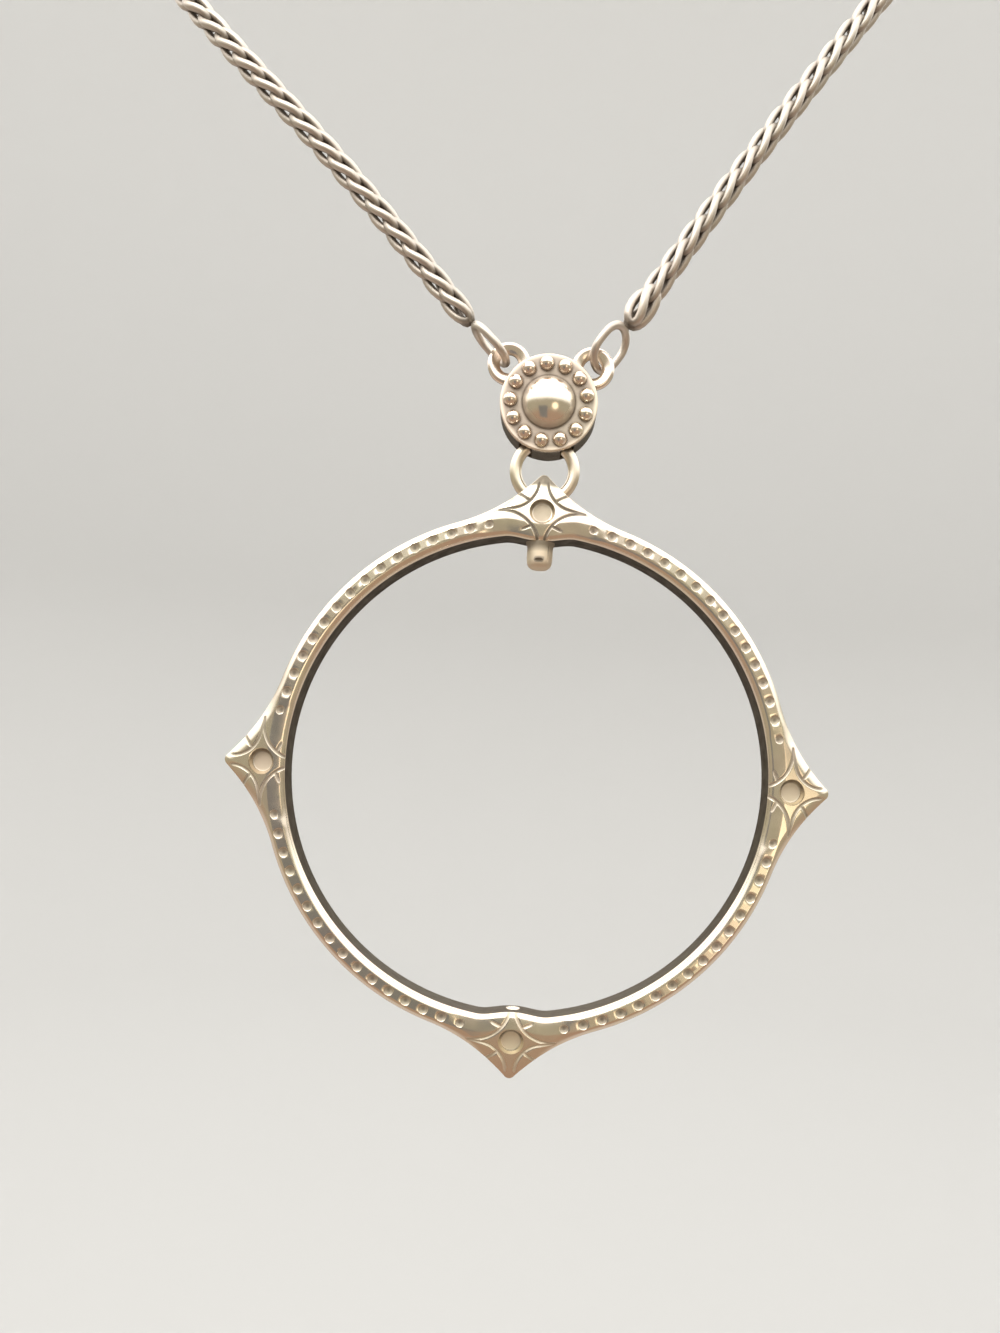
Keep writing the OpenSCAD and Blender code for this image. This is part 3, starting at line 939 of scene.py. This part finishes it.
def ball(radius, centre, rows=16, columns=28):
    """A closed ball about (x, up, out): a half circle, radius times sine and cosine of an angle, turned."""
    angle = np.linspace(0.02, math.pi - 0.02, rows)
    profile = np.stack([radius * np.sin(angle), -radius * np.cos(angle)], axis=-1)
    return turned(profile, columns, centre[:2], centre[2])


seat_points, seat_faces = ball(SEAT_R, (0.0, SWELL - BORE_R - SEAT_DEPTH + SEAT_R, SEAT_OUT))
combine(hoop, "DIFFERENCE", [ring_way(WAY_IN_HOOP), (in_plane(seat_points), seat_faces)])
print("way", 2 * WAY_IN_HOOP, "mm high, seat", SEAT_DEPTH, "mm deep")

# %% [markdown]
# The peg is a short round pin that points down into the hoop from the top. It is turned like the cutters,
# then laid upright and joined. A worn pit and a thin slot in its front are cut last.

# %% The peg
PEG_R = 1.3
PEG_END = 21.0
PEG_TOP = 24.4
PEG_BACK = 0.15
PEG_TIP = [(0.5, 0.02), (0.85, 0.1), (1.08, 0.26), (1.22, 0.5), (1.28, 0.8), (PEG_R, 1.2)]
PEG_FOOT = [(0.0, 22.6), (0.0, 23.1), (0.04, 23.35), (0.14, 23.55), (0.14, PEG_TOP)]
peg_profile = [(POLE, PEG_END)] + [(r, PEG_END + height) for r, height in PEG_TIP]
peg_profile += [(PEG_R + past, up) for past, up in PEG_FOOT] + [(POLE, PEG_TOP)]
peg_points, peg_faces = turned(peg_profile, turns=48)
peg_points = peg_points[:, [0, 2, 1]] - (0, 0, PEG_BACK)
combine(hoop, "UNION", [(in_plane(peg_points), peg_faces)])
print("peg", 2 * PEG_R, "mm across, its end", PEG_END, "mm over the centre")

# %% The pit and the slot of the peg
PIT_R = 0.5
PIT_SHAPE = (0.9, 0.36, 0.5)
PIT_X = -0.1
PIT_UP = PEG_END + 0.78
PIT_OUT = PEG_R - PEG_BACK - 0.02
SLOT_X = (0.76, 0.88)
SLOT_UP = (PEG_END + 0.7, 23.2)
SLOT_OUT = (0.72, 1.6)
BOX_FACES = [(0, 1, 3, 2), (4, 6, 7, 5), (0, 4, 5, 1), (2, 3, 7, 6), (0, 2, 6, 4), (1, 5, 7, 3)]
pit_points, pit_faces = ball(PIT_R, (0.0, 0.0, 0.0))
pit_points = pit_points * PIT_SHAPE + (PIT_X, PIT_UP, PIT_OUT)
slot_points = np.array([(x, up, out) for x in SLOT_X for up in SLOT_UP for out in SLOT_OUT])
combine(hoop, "DIFFERENCE", [(in_plane(pit_points), pit_faces), (in_plane(slot_points), BOX_FACES)])
print("hoop", len(hoop.data.polygons), "faces after cutting")

# %% [markdown]
# A cloth polishes the face and misses the hollows. So each vertex is asked where it lies: on the face, in a
# line, in a recess, in a dimple, on the wall of the opening or on the peg. Each of these has its own
# darkness, and where two meet the darker one counts. Part of it is the film. The wall of the opening, the
# upper walls of the recesses, the peg's root and a rise towards the top are painted shade. Matt places are
# found in the same way.

# %% Where each vertex of the hoop lies
FACE_OUT = 0.7
EDGE_MARGIN = 0.03
FLOOR_FADE = 0.12
FLOOR_MARGIN = 0.05
DIMPLE_MARGIN = 0.02
SUNK_LEAST = 0.02
WALL_MARGIN = 0.02
WALL_UNDER = 0.1
PEG_MARGIN = 0.2
PIT_HALF = (0.46, 0.2)
PIT_FROM = 0.6
LINE_EDGES = (0.02, 0.4)
finish_mesh(hoop, hoop_metal, smooth_angle=32)
x, up, out = local(hoop)
aside, along = about_point(x, up)
radius = np.hypot(x, up)
from_inner = radius - inner_radius(np.arctan2(up, x))
on_face = (out > FACE_OUT) & (from_inner > EDGE_MARGIN) & (from_outside(x, up) > EDGE_MARGIN)
sunk = np.where(on_face, np.clip(smooth_face(x, up) - out, 0, 1), 0) > SUNK_LEAST
on_wall = (np.abs(from_inner) < WALL_MARGIN) & (out < smooth_face(x, up) - WALL_UNDER)
on_peg = (from_inner < -EDGE_MARGIN) & (np.abs(x) < PEG_R + PEG_MARGIN) & (up > 0)
in_pit = on_peg & (np.hypot((x - PIT_X) / PIT_HALF[0], (up - PIT_UP) / PIT_HALF[1]) < 1) & (out > PIT_FROM)
in_line = smooth_step(np.where(on_face, line_depth(aside, along) / LINE_DEPTH, 0), *LINE_EDGES)
print("vertices on the face, the wall, the peg:", int(on_face.sum()), int(on_wall.sum()), int(on_peg.sum()))

# %% The recesses
WALL_SHADE = 0.1
WALL_PAINTED_SHADE_ABOVE = 0.6
WALL_TURNS = (-0.3, 0.5)
recess_gap = np.hypot(aside, along - RECESS_AT)
in_recess = (recess_gap < RECESS_R + EDGE_MARGIN) & sunk
recess_floor = in_recess * smooth_step(recess_gap, RECESS_FLOOR_R + FLOOR_FADE, RECESS_FLOOR_R)
upright = np.abs(up) > np.abs(x)
above_middle = np.where(upright, up - RECESS_AT * np.sign(up), up) / RECESS_R
recess_wall = in_recess * (recess_gap > RECESS_FLOOR_R + FLOOR_MARGIN)
# Painted shade: the upper part of each recess's wall is darker.
recess_shade = WALL_SHADE + WALL_PAINTED_SHADE_ABOVE * smooth_step(above_middle, *WALL_TURNS)
print("vertices in the recesses", int(in_recess.sum()))

# %% The dimples
# The dimples stand at odd halves of the pitch from the diagonal. A vertex is turned back by the nearest one's
# angle, and its gap is then the distance to the one place where a dimple would be.
DIMPLE_SHADE = 0.42
DIMPLE_SHADE_DEEP = 0.26
DIMPLE_DEEP = (0.3, 0.08)
from_diagonal = np.abs(np.arctan2(along, aside) - math.pi / 4)
nearest = (np.clip(np.round(from_diagonal / DIMPLE_PITCH - 0.5), 0, DIMPLES / 2 - 1) + 0.5) * DIMPLE_PITCH
turned_by = from_diagonal - nearest
dimple_gap = np.hypot(radius * np.sin(turned_by), radius * np.cos(turned_by) - DIMPLE_AT)
in_dimple = (dimple_gap < DIMPLE_R + DIMPLE_MARGIN) & sunk
dimple_shade = DIMPLE_SHADE + DIMPLE_SHADE_DEEP * smooth_step(dimple_gap, *DIMPLE_DEEP)
print("vertices in the dimples", int(in_dimple.sum()))

# %% The darkest counts
# Some of the shades rise with up: painted shade, darker towards the top of the hoop.
# The tip of the top point is painted darker: a painted dark reflection.
TIP_ZONE = (REACH - 1.5, REACH - 0.9)
PEG_ROOT = (22.75, 23.25)
LINE_SHADE, LINE_PAINTED_SHADE_UP, LINE_MATT = 0.42, 0.28, 0.9
FLOOR_SHADE, FLOOR_PAINTED_SHADE_UP = 0.17, 0.09
OPENING_PAINTED_SHADE, OPENING_PAINTED_SHADE_UP = 0.86, 0.1
PIT_SHADE = 0.6
ROOT_PAINTED_SHADE = 0.5
TIP_PAINTED_DARK, TIP_MATT = 0.75, 0.5
DIMPLE_MATT = 0.75
# Painted dark reflection on the tip of the top point.
dark_tip = on_face * smooth_step(up, *TIP_ZONE)
dark = [in_line * (LINE_SHADE + LINE_PAINTED_SHADE_UP * up / REACH), in_dimple * dimple_shade]
dark += [recess_floor * (FLOOR_SHADE + FLOOR_PAINTED_SHADE_UP * up / REACH), recess_wall * recess_shade]
# Painted shade: the wall of the opening is painted dark brown, darker still towards the top.
dark += [on_wall * (OPENING_PAINTED_SHADE + OPENING_PAINTED_SHADE_UP * up / BORE_R), dark_tip * TIP_PAINTED_DARK]
# Painted shade at the root of the peg, where it meets the hoop.
dark += [in_pit * PIT_SHADE, on_peg * smooth_step(up, *PEG_ROOT) * ROOT_PAINTED_SHADE]
matt = [recess_floor, on_peg * 1.0, in_dimple * DIMPLE_MATT, in_line * LINE_MATT, dark_tip * TIP_MATT]
set_field(hoop, "tarnish", np.maximum.reduce(dark))
set_field(hoop, "satin", np.maximum.reduce(matt))
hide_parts("hoop")
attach(hoop, "hoop")

# %% [markdown]
# The jump ring is drawn wire bent round and closed by solder. A ring is a closed curve with a round
# section: the section stands square to the curve, and the direction away from the ring's middle gives it a
# fixed side.


# %% Rings and links of wire
def wire_loop(curve, radius, sides):
    """A closed tube: at each point of a closed curve a circle square to it, turned by the way to the middle.

    Each point is the curve's point plus radius * (cosine * away + sine * across).
    """
    along = np.roll(curve, -1, axis=0) - np.roll(curve, 1, axis=0)
    along /= np.linalg.norm(along, axis=1, keepdims=True)
    away = curve - curve.mean(axis=0)
    away -= (away * along).sum(axis=1, keepdims=True) * along
    away /= np.linalg.norm(away, axis=1, keepdims=True)
    across = np.cross(along, away)
    angle = np.linspace(0, 2 * math.pi, sides, endpoint=False)[None, :, None]
    points = curve[:, None] + radius * (np.cos(angle) * away[:, None] + np.sin(angle) * across[:, None])
    faces = grid_faces(len(curve), sides, wrap_rows=True, wrap_columns=True)
    return points.reshape(-1, 3), faces.tolist()


def ring_curve(centre, radius, count):
    """A circle in the plane of x and z: the centre plus the radius times cosine and sine."""
    turn = np.linspace(0, 2 * math.pi, count, endpoint=False)
    return centre + radius * np.stack([np.cos(turn), 0 * turn, np.sin(turn)], axis=-1)


# %% The jump ring
ring_points, ring_faces = wire_loop(ring_curve(RING_CENTRE, RING_R, count=120), RING_WIRE / 2, sides=28)
jump_ring = make_piece("jump_ring", ring_points, face_out(ring_points, ring_faces), ring_metal)
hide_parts("jump_ring")
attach(jump_ring, "jump_ring")
print("jump ring", round(2 * RING_R + RING_WIRE, 2), "mm across")

# %% [markdown]
# The station is built as a goldsmith builds it: a round plate with a straight wall, a domed button soldered
# on its middle, a circle of small balls round it, and an ear of bent wire on each shoulder for the chain.
# All of them are turned solids, joined into one, and the jump ring's way is cut through the wall below.

# %% The station's plate
ROSETTE_AT = 37.4
ROSETTE_R = 4.9
FACE_H = 1.5
RIM_ROUND = 0.16
SIDE_HEIGHTS = (0.9, 0.3, -0.3, -0.9)
BACK_ROUND = [(0.0, 0.2), (0.06, 0.06), (0.2, 0.0)]
BACK_INSIDE = 0.6
body_profile = [(r, FACE_H) for r in np.linspace(POLE, ROSETTE_R - RIM_ROUND, 46)]
body_profile += [
    (ROSETTE_R - RIM_ROUND + RIM_ROUND * math.sin(a), FACE_H - RIM_ROUND + RIM_ROUND * math.cos(a))
    for a in np.linspace(0, math.pi / 2, 6)[1:]
]
body_profile += [(ROSETTE_R, height) for height in SIDE_HEIGHTS]
body_profile += [(ROSETTE_R - inside, height - FACE_H) for inside, height in BACK_ROUND]
body_profile += [(r, -FACE_H) for r in np.linspace(ROSETTE_R - BACK_INSIDE, POLE, 10)]
body_points, body_faces = turned(body_profile, turns=208, centre=(0.0, ROSETTE_AT))
body_points = in_plane(body_points)
rosette = make_piece("rosette", body_points, face_out(body_points, body_faces))
print("plate", 2 * ROSETTE_R, "mm across")

# %% The dome and the granules
DOME_R = 2.7
DOME_H = 1.5
DOME_ROOT = 0.5
GRANULES = 13
GRANULE_AT = 3.85
GRANULE_R = 0.725
FIRST_GRANULE = math.radians(96)
granule_angle = FIRST_GRANULE + np.arange(GRANULES) * 2 * math.pi / GRANULES
granule_x = GRANULE_AT * np.cos(granule_angle)
granule_up = ROSETTE_AT + GRANULE_AT * np.sin(granule_angle)
cap_r = (DOME_R**2 + DOME_H**2) / (2 * DOME_H)
cap_angle = np.linspace(0.003, math.asin(DOME_R / cap_r), 26)
dome_profile = [(cap_r * math.sin(a), FACE_H + DOME_H - cap_r * (1 - math.cos(a))) for a in cap_angle]
dome_profile += [(DOME_R, FACE_H - DOME_ROOT), (POLE, FACE_H - DOME_ROOT)]
dome_points, dome_faces = turned(dome_profile, turns=96, centre=(0.0, ROSETTE_AT))
combine(rosette, "UNION", [(in_plane(dome_points), dome_faces)])
granule_balls = [ball(GRANULE_R, (gx, gup, FACE_H)) for gx, gup in zip(granule_x, granule_up)]
combine(rosette, "UNION", [gather([(in_plane(points), faces) for points, faces in granule_balls])])
print("dome is a cap of a", round(cap_r, 2), "mm ball, with", GRANULES, "granules round it")

# %% The ears and the ring's way
EAR_X = 4.2
EAR_UP = ROSETTE_AT + 3.8
EAR_OUT = 0.9
WAY_IN_STATION = 1.16
ear_section = [(1.0, -0.26), (1.25, -0.36), (1.8, -0.4), (2.08, -0.28), (2.18, 0.0), (2.12, 0.22)]
ear_section += [(2.0, 0.35), (1.86, 0.4), (1.72, 0.38), (1.4, 0.3), (1.12, 0.2), (0.97, 0.07), (0.94, -0.1)]
for side in (-1, 1):
    ear_place = (side * EAR_X, EAR_UP)
    points, faces = turned(ear_section, turns=72, centre=ear_place, rise=EAR_OUT, ring=True)
    combine(rosette, "UNION", [(in_plane(points), faces)])
combine(rosette, "DIFFERENCE", [ring_way(WAY_IN_STATION)])
finish_mesh(rosette, rosette_metal, smooth_angle=35)
print("rosette", len(rosette.data.polygons), "faces")

# %% [markdown]
# The dome and the tops of the granules are bright. The plate between them is matt and brown, darkest in the
# seams along their feet. The wall round the plate is brown too: painted shade.

# %% The station's film and painted shade
SEAM_W = 0.12
PLATE_MARGIN = 0.12
SIDE_MARGIN = 0.03
SIDE_BELOW = 0.2
DOME_MARGIN = 0.05
PLATE_EDGE = (4.75, 4.3)
PLATE_SHADE = 0.42
PLATE_MATT = 0.8
SEAM_SHADE = 0.2
SIDE_PAINTED_SHADE = 0.85
FOOT_SHADE = 0.3
DOME_FOOT = (0.74 * DOME_R, 0.95 * DOME_R)
x, up, out = local(rosette)
from_middle = np.hypot(x, up - ROSETTE_AT)
near_face = np.abs(out - FACE_H) < PLATE_MARGIN
to_granule = np.hypot(x[:, None] - granule_x, up[:, None] - granule_up).min(axis=1) - GRANULE_R
to_seam = np.maximum(np.minimum(to_granule, from_middle - DOME_R), 0)
seam = np.exp(-((to_seam / SEAM_W) ** 2))
# Painted shade: the wall round the plate is painted dark.
on_side = (np.abs(from_middle - ROSETTE_R) < SIDE_MARGIN) & (out < FACE_H - SIDE_BELOW)
on_dome = (out > 0) * (from_middle < DOME_R + DOME_MARGIN)
dome_foot = on_dome * smooth_step(from_middle, *DOME_FOOT)
plate_dark = near_face * (PLATE_SHADE * smooth_step(from_middle, *PLATE_EDGE) + SEAM_SHADE * seam)
set_field(rosette, "tarnish", np.maximum.reduce([plate_dark, on_side * SIDE_PAINTED_SHADE, dome_foot * FOOT_SHADE]))
set_field(rosette, "satin", np.maximum(near_face * PLATE_MATT, dome_foot))
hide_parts("rosette")
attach(rosette, "necklace")
print("vertices near the plate", int(near_face.sum()))

# %% [markdown]
# An oval link joins each ear to the chain. It is an oval curve, turned about its own length, then leant to
# the side on which its chain leaves and hung in the ear's hole.

# %% Measures of the end links
LINK_L = 5.4
LINK_W = 4.4
LINK_WIRE = 0.8
LINK_GAP = 0.1
EAR_RING_R = 1.5
EAR_WIRE = 1.15
EAR_HOLE_SEAT = EAR_RING_R - EAR_WIRE / 2 - LINK_WIRE / 2 - LINK_GAP
LINK_MID = EAR_HOLE_SEAT + (LINK_L - LINK_WIRE) / 2
CHAIN_START = EAR_HOLE_SEAT + LINK_L - LINK_WIRE / 2 + LINK_GAP
LINK_LEAN = {-1: math.radians(46.5), 1: math.radians(36)}
CHAIN_LEAN = {-1: math.radians(43), 1: math.radians(33)}
LINK_TILT = {-1: math.radians(89), 1: math.radians(57)}
SIDE_NAME = {-1: "left", 1: "right"}
ear_centre = {s: HOOP_CENTRE + np.array((s * EAR_X, -EAR_OUT, EAR_UP)) for s in (-1, 1)}
print("a chain starts", round(CHAIN_START, 2), "mm from its ear's centre")


# %% Ovals and turns
def oval(count=96):
    """A round-ended oval in the plane of x and z.

    x is the bend's radius times the cosine. z is that radius times the sine, plus half of the straight part
    times tanh(4 * sine), which goes quickly from -1 to 1.
    """
    bend_r = (LINK_W - LINK_WIRE) / 2
    half = (LINK_L - LINK_W) / 2
    angle = np.linspace(0, 2 * math.pi, count, endpoint=False)
    z = bend_r * np.sin(angle) + half * np.tanh(4 * np.sin(angle))
    return np.stack([bend_r * np.cos(angle), 0 * angle, z], axis=-1)


def about_z(points, angle):
    """Points turned about z: x is x * cos - y * sin, and y is x * sin + y * cos."""
    cos, sin = math.cos(angle), math.sin(angle)
    x, y, z = points.T
    return np.stack([x * cos - y * sin, x * sin + y * cos, z], axis=-1)


def about_y(points, angle):
    """Points turned about y, z towards x: x is x * cos + z * sin, and z is z * cos - x * sin."""
    cos, sin = math.cos(angle), math.sin(angle)
    x, y, z = points.T
    return np.stack([x * cos + z * sin, y, -x * sin + z * cos], axis=-1)


# %% The end links
def chain_piece(name, points, faces):
    """A piece of the chain, with the names and the metal that all of them share."""
    piece = make_piece(name, points, faces, chain_metal)
    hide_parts(name)
    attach(piece, "necklace")
    return piece


for side in (-1, 1):
    curve = about_z(oval(), LINK_TILT[side]) + np.array((0, 0, LINK_MID))
    curve = about_y(curve, side * LINK_LEAN[side]) + ear_centre[side]
    points, faces = wire_loop(curve, LINK_WIRE / 2, sides=20)
    chain_piece("end_link_" + SIDE_NAME[side], points, face_out(points, faces))
    print(SIDE_NAME[side], "end link leans", round(math.degrees(LINK_LEAN[side]), 1), "degrees")

# %% [markdown]
# The chain hangs from the end link in a straight run, then goes over the collarbones and round the neck to
# the clasp at the nape. Its route is a short list of places, given in millimetres, with a smooth curve
# through all of them.

# %% The chain's route
ROUTES = {
    -1: [(-35.6, -112, -112.6), (-46, -108.2, -100.5), (-55, -100, -87.5), (-61.5, -88, -73.5)]
    + [(-65, -73.5, -59), (-65.5, -58, -45.5), (-61.5, -42.5, -33), (-53.5, -28, -22)]
    + [(-42.5, -15.3, -12.5), (-29.5, -5.6, -5.2), (-18.5, 0, -1.1)],
    1: [(29.9, -112, -106.7), (40, -109.8, -92.5), (50, -103, -79), (57.5, -92, -66)]
    + [(63, -78.5, -53), (64.5, -63, -41), (61.5, -47, -29.7), (54, -31.5, -19.5)]
    + [(42.5, -17, -11), (29.5, -6.4, -4.8), (18.5, 0, -1.1)],
}
STRAIGHT_L = 20.0
CLASP_Y = 1.6
EYE_X = 5.3
EYE_R = 1.3
EYE_WIRE_R = 0.45
CLASP_LINK_SEAT = EYE_R - EYE_WIRE_R - LINK_WIRE / 2 - LINK_GAP
CLASP_LINK_X = EYE_X + CLASP_LINK_SEAT + (LINK_L - LINK_WIRE) / 2
CHAIN_END_X = EYE_X + CLASP_LINK_SEAT + LINK_L - LINK_WIRE / 2 + 3 * LINK_GAP
print("chain ends", round(CHAIN_END_X, 2), "mm from the clasp's middle,", len(ROUTES[1]), "places chosen")


# %% A smooth curve through the places
def smooth_route(points, steps=60):
    """A smooth curve through all points, its ends carried on straight, as one array.

    Between b and c, with a before them and d after, it is half of this sum:
    2b + (c - a)t + (2a - 5b + 4c - d)t² + (3b - a - 3c + d)t³.
    """
    p = np.asarray(points, float)
    q = np.vstack([2 * p[0] - p[1], p, 2 * p[-1] - p[-2]])
    a, b, c, d = q[:-3, None], q[1:-2, None], q[2:-1, None], q[3:, None]
    t = np.linspace(0, 1, steps, endpoint=False)[None, :, None]
    curve = 0.5 * (2 * b + (c - a) * t + (2 * a - 5 * b + 4 * c - d) * t**2 + (3 * b - a - 3 * c + d) * t**3)
    return np.vstack([curve.reshape(-1, 3), p[-1:]])


def leaning(side, lean):
    """The direction of length 1 that leans from upright to one side: (sine, 0, cosine) of the lean."""
    return np.array((side * math.sin(lean), 0, math.cos(lean)))


def chain_route(side):
    """From the end link up a straight run, through the listed places, to the clasp."""
    start = ear_centre[side] + CHAIN_START * leaning(side, LINK_LEAN[side])
    straight_end = start + STRAIGHT_L * leaning(side, CHAIN_LEAN[side])
    return smooth_route([start, straight_end] + ROUTES[side] + [(side * CHAIN_END_X, CLASP_Y, 0)])


# %% [markdown]
# A wheat chain is made of one link over and over: a long wire loop, folded in half, through whose two bends
# the next link is pushed. The fold crosses over as it goes, and the whole is twisted, so that the strands
# lie like the grains of an ear of wheat. The loop's curve is a sum of a few sines of one parameter t.

# %% One wheat link
# PERIOD is the step from link to link, and a link is longer than that by the wire and REACH_EXTRA. WEAVE_D
# is how far the wire swings out on its way, and WEAVE_TIP how far out its two bends stand.
PERIOD = 2.87
WEAVE_WIRE = 0.78
WEAVE_D = 0.58
WEAVE_TIP = 0.33
HALF_AT_FOLD = 0.3
HALF_MIDWAY = 0.63
SINE_OF_45 = 0.707
REACH_EXTRA = 0.4
WEAVE_TWIST = math.radians(-80)
WEAVE_TURN = math.radians(135)
LINK_RINGS = 36
LINK_SIDES = 10


def weave_link():
    """One wheat link: a long loop folded in half, whose two bends sit at one end and its middle at the other.

    x is a * sin t + b * sin 3t, where a and b give the half widths at the fold and midway. y swings once over
    the loop's length, and the way down is the height times cos² t, which folds the loop in half.
    """
    t = np.linspace(0, 2 * math.pi, LINK_RINGS, endpoint=False)
    s = np.cos(t)
    height = PERIOD + WEAVE_WIRE + REACH_EXTRA
    a = (HALF_AT_FOLD + HALF_MIDWAY / SINE_OF_45) / 2
    b = a - HALF_AT_FOLD
    x = a * np.sin(t) + b * np.sin(3 * t)
    y = (WEAVE_D - WEAVE_TIP / 2) * np.sin(math.pi * s) + WEAVE_TIP * s
    down = height * s**2
    twist = WEAVE_TWIST * (down / height - 0.5)
    cos, sin = np.cos(twist), np.sin(twist)
    curve = np.stack([x * cos - y * sin, x * sin + y * cos, down], axis=-1)
    return wire_loop(curve, WEAVE_WIRE / 2, LINK_SIDES)


link_points, link_faces = weave_link()
link_points = about_z(link_points, WEAVE_TURN)
link_height = link_points[:, 2].max()
print("one link is", round(link_height, 2), "mm high with", len(link_faces), "faces")

# %% Bending onto the route
NECK_Y = -56.0


def on_route(route, points):
    """Bends points laid along z onto a route: z becomes the distance along it, x and y stand square to it.

    A point goes to route(z) + x * away(z) + y * across(z), where away points from the neck's upright axis.
    """
    step = np.linalg.norm(np.diff(route, axis=0), axis=1)
    distance = np.concatenate([[0], np.cumsum(step)])
    along = np.gradient(route, axis=0)
    along /= np.linalg.norm(along, axis=1, keepdims=True)
    away = np.stack([route[:, 0], route[:, 1] - NECK_Y, 0 * route[:, 0]], axis=-1)
    away -= (away * along).sum(axis=1, keepdims=True) * along
    away /= np.linalg.norm(away, axis=1, keepdims=True)
    across = np.cross(along, away)

    def at(field):
        """The field at each point's distance along the route, between its two nearest rows."""
        return np.stack([np.interp(points[:, 2], distance, field[:, k]) for k in range(3)], axis=-1)

    return at(route) + points[:, :1] * at(away) + points[:, 1:2] * at(across)


# %% The wheat chain
FIRST_SPREAD = {-1: 1.0, 1: 1.22}
BRIGHT_BEYOND = 1.08
BRIGHT_FADE = 0.42
CORE_PAINTED_SHADE = 0.68
for side in (-1, 1):
    route = chain_route(side)
    length = np.linalg.norm(np.diff(route, axis=0), axis=1).sum()
    count = int((length - link_height) / PERIOD) + 1
    pitch = (length - link_height - WEAVE_WIRE / 2) / (count - 1)
    spread = [FIRST_SPREAD[side]] + [1.0] * (count - 1)
    lifted = [np.array((0, 0, k * pitch + WEAVE_WIRE / 2)) for k in range(count)]
    many = np.concatenate([link_points * (wide, wide, 1) + lift for wide, lift in zip(spread, lifted)])
    faces = np.concatenate([np.array(link_faces) + k * len(link_points) for k in range(count)])
    # Painted shade: the wires darken towards the chain's core, where the strands shade one another.
    inward = np.clip((BRIGHT_BEYOND - np.hypot(many[:, 0], many[:, 1])) / BRIGHT_FADE, 0, 1)
    chain = chain_piece("chain_" + SIDE_NAME[side], on_route(route, many), faces.tolist())
    set_field(chain, "tarnish", inward * CORE_PAINTED_SHADE)
    print(SIDE_NAME[side], "chain", round(length, 1), "mm,", count, "links at", round(pitch, 3), "mm")

# %% [markdown]
# The closing at the nape is hidden in the picture, so it is kept plain: a turned barrel with a groove near
# each end and an eye on both sides, and a flat-lying oval link between each eye and the chain.

# %% The clasp's links
for side in (-1, 1):
    curve = oval()[:, [2, 0, 1]] + np.array((side * CLASP_LINK_X, CLASP_Y, 0))
    points, faces = wire_loop(curve, LINK_WIRE / 2, sides=16)
    chain_piece("clasp_link_" + SIDE_NAME[side], points, face_out(points, faces))
    print(SIDE_NAME[side], "clasp link at", round(side * CLASP_LINK_X, 2), "mm")

# %% The clasp
CLASP_R = 1.6
CLASP_HALF = 4.0
END_ROUND = [(POLE, 0.0), (0.8, 0.0), (1.2, 0.13), (1.5, 0.45), (CLASP_R, 0.8)]
GROOVE = [(0.0, -2.0), (0.12, -1.9), (0.12, -1.7), (0.0, -1.6)]
barrel = [(r, height - CLASP_HALF) for r, height in END_ROUND]
barrel += [(CLASP_R - depth, height) for depth, height in GROOVE]
barrel += [(r, -height) for r, height in barrel[::-1]]
points, faces = turned(barrel, turns=64)
points = points[:, [2, 0, 1]] + np.array((0, CLASP_Y, 0))
clasp = make_piece("clasp", points, face_out(points, faces))
for side in (-1, 1):
    eye = ring_curve(np.array((side * EYE_X, CLASP_Y, 0)), EYE_R, count=64)
    combine(clasp, "UNION", [wire_loop(eye, EYE_WIRE_R, sides=18)])
finish_mesh(clasp, clasp_metal, smooth_angle=40)
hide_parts("clasp")
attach(clasp, "necklace")
print("clasp", 2 * CLASP_HALF, "mm long,", len(clasp.data.polygons), "faces")

# %% [markdown]
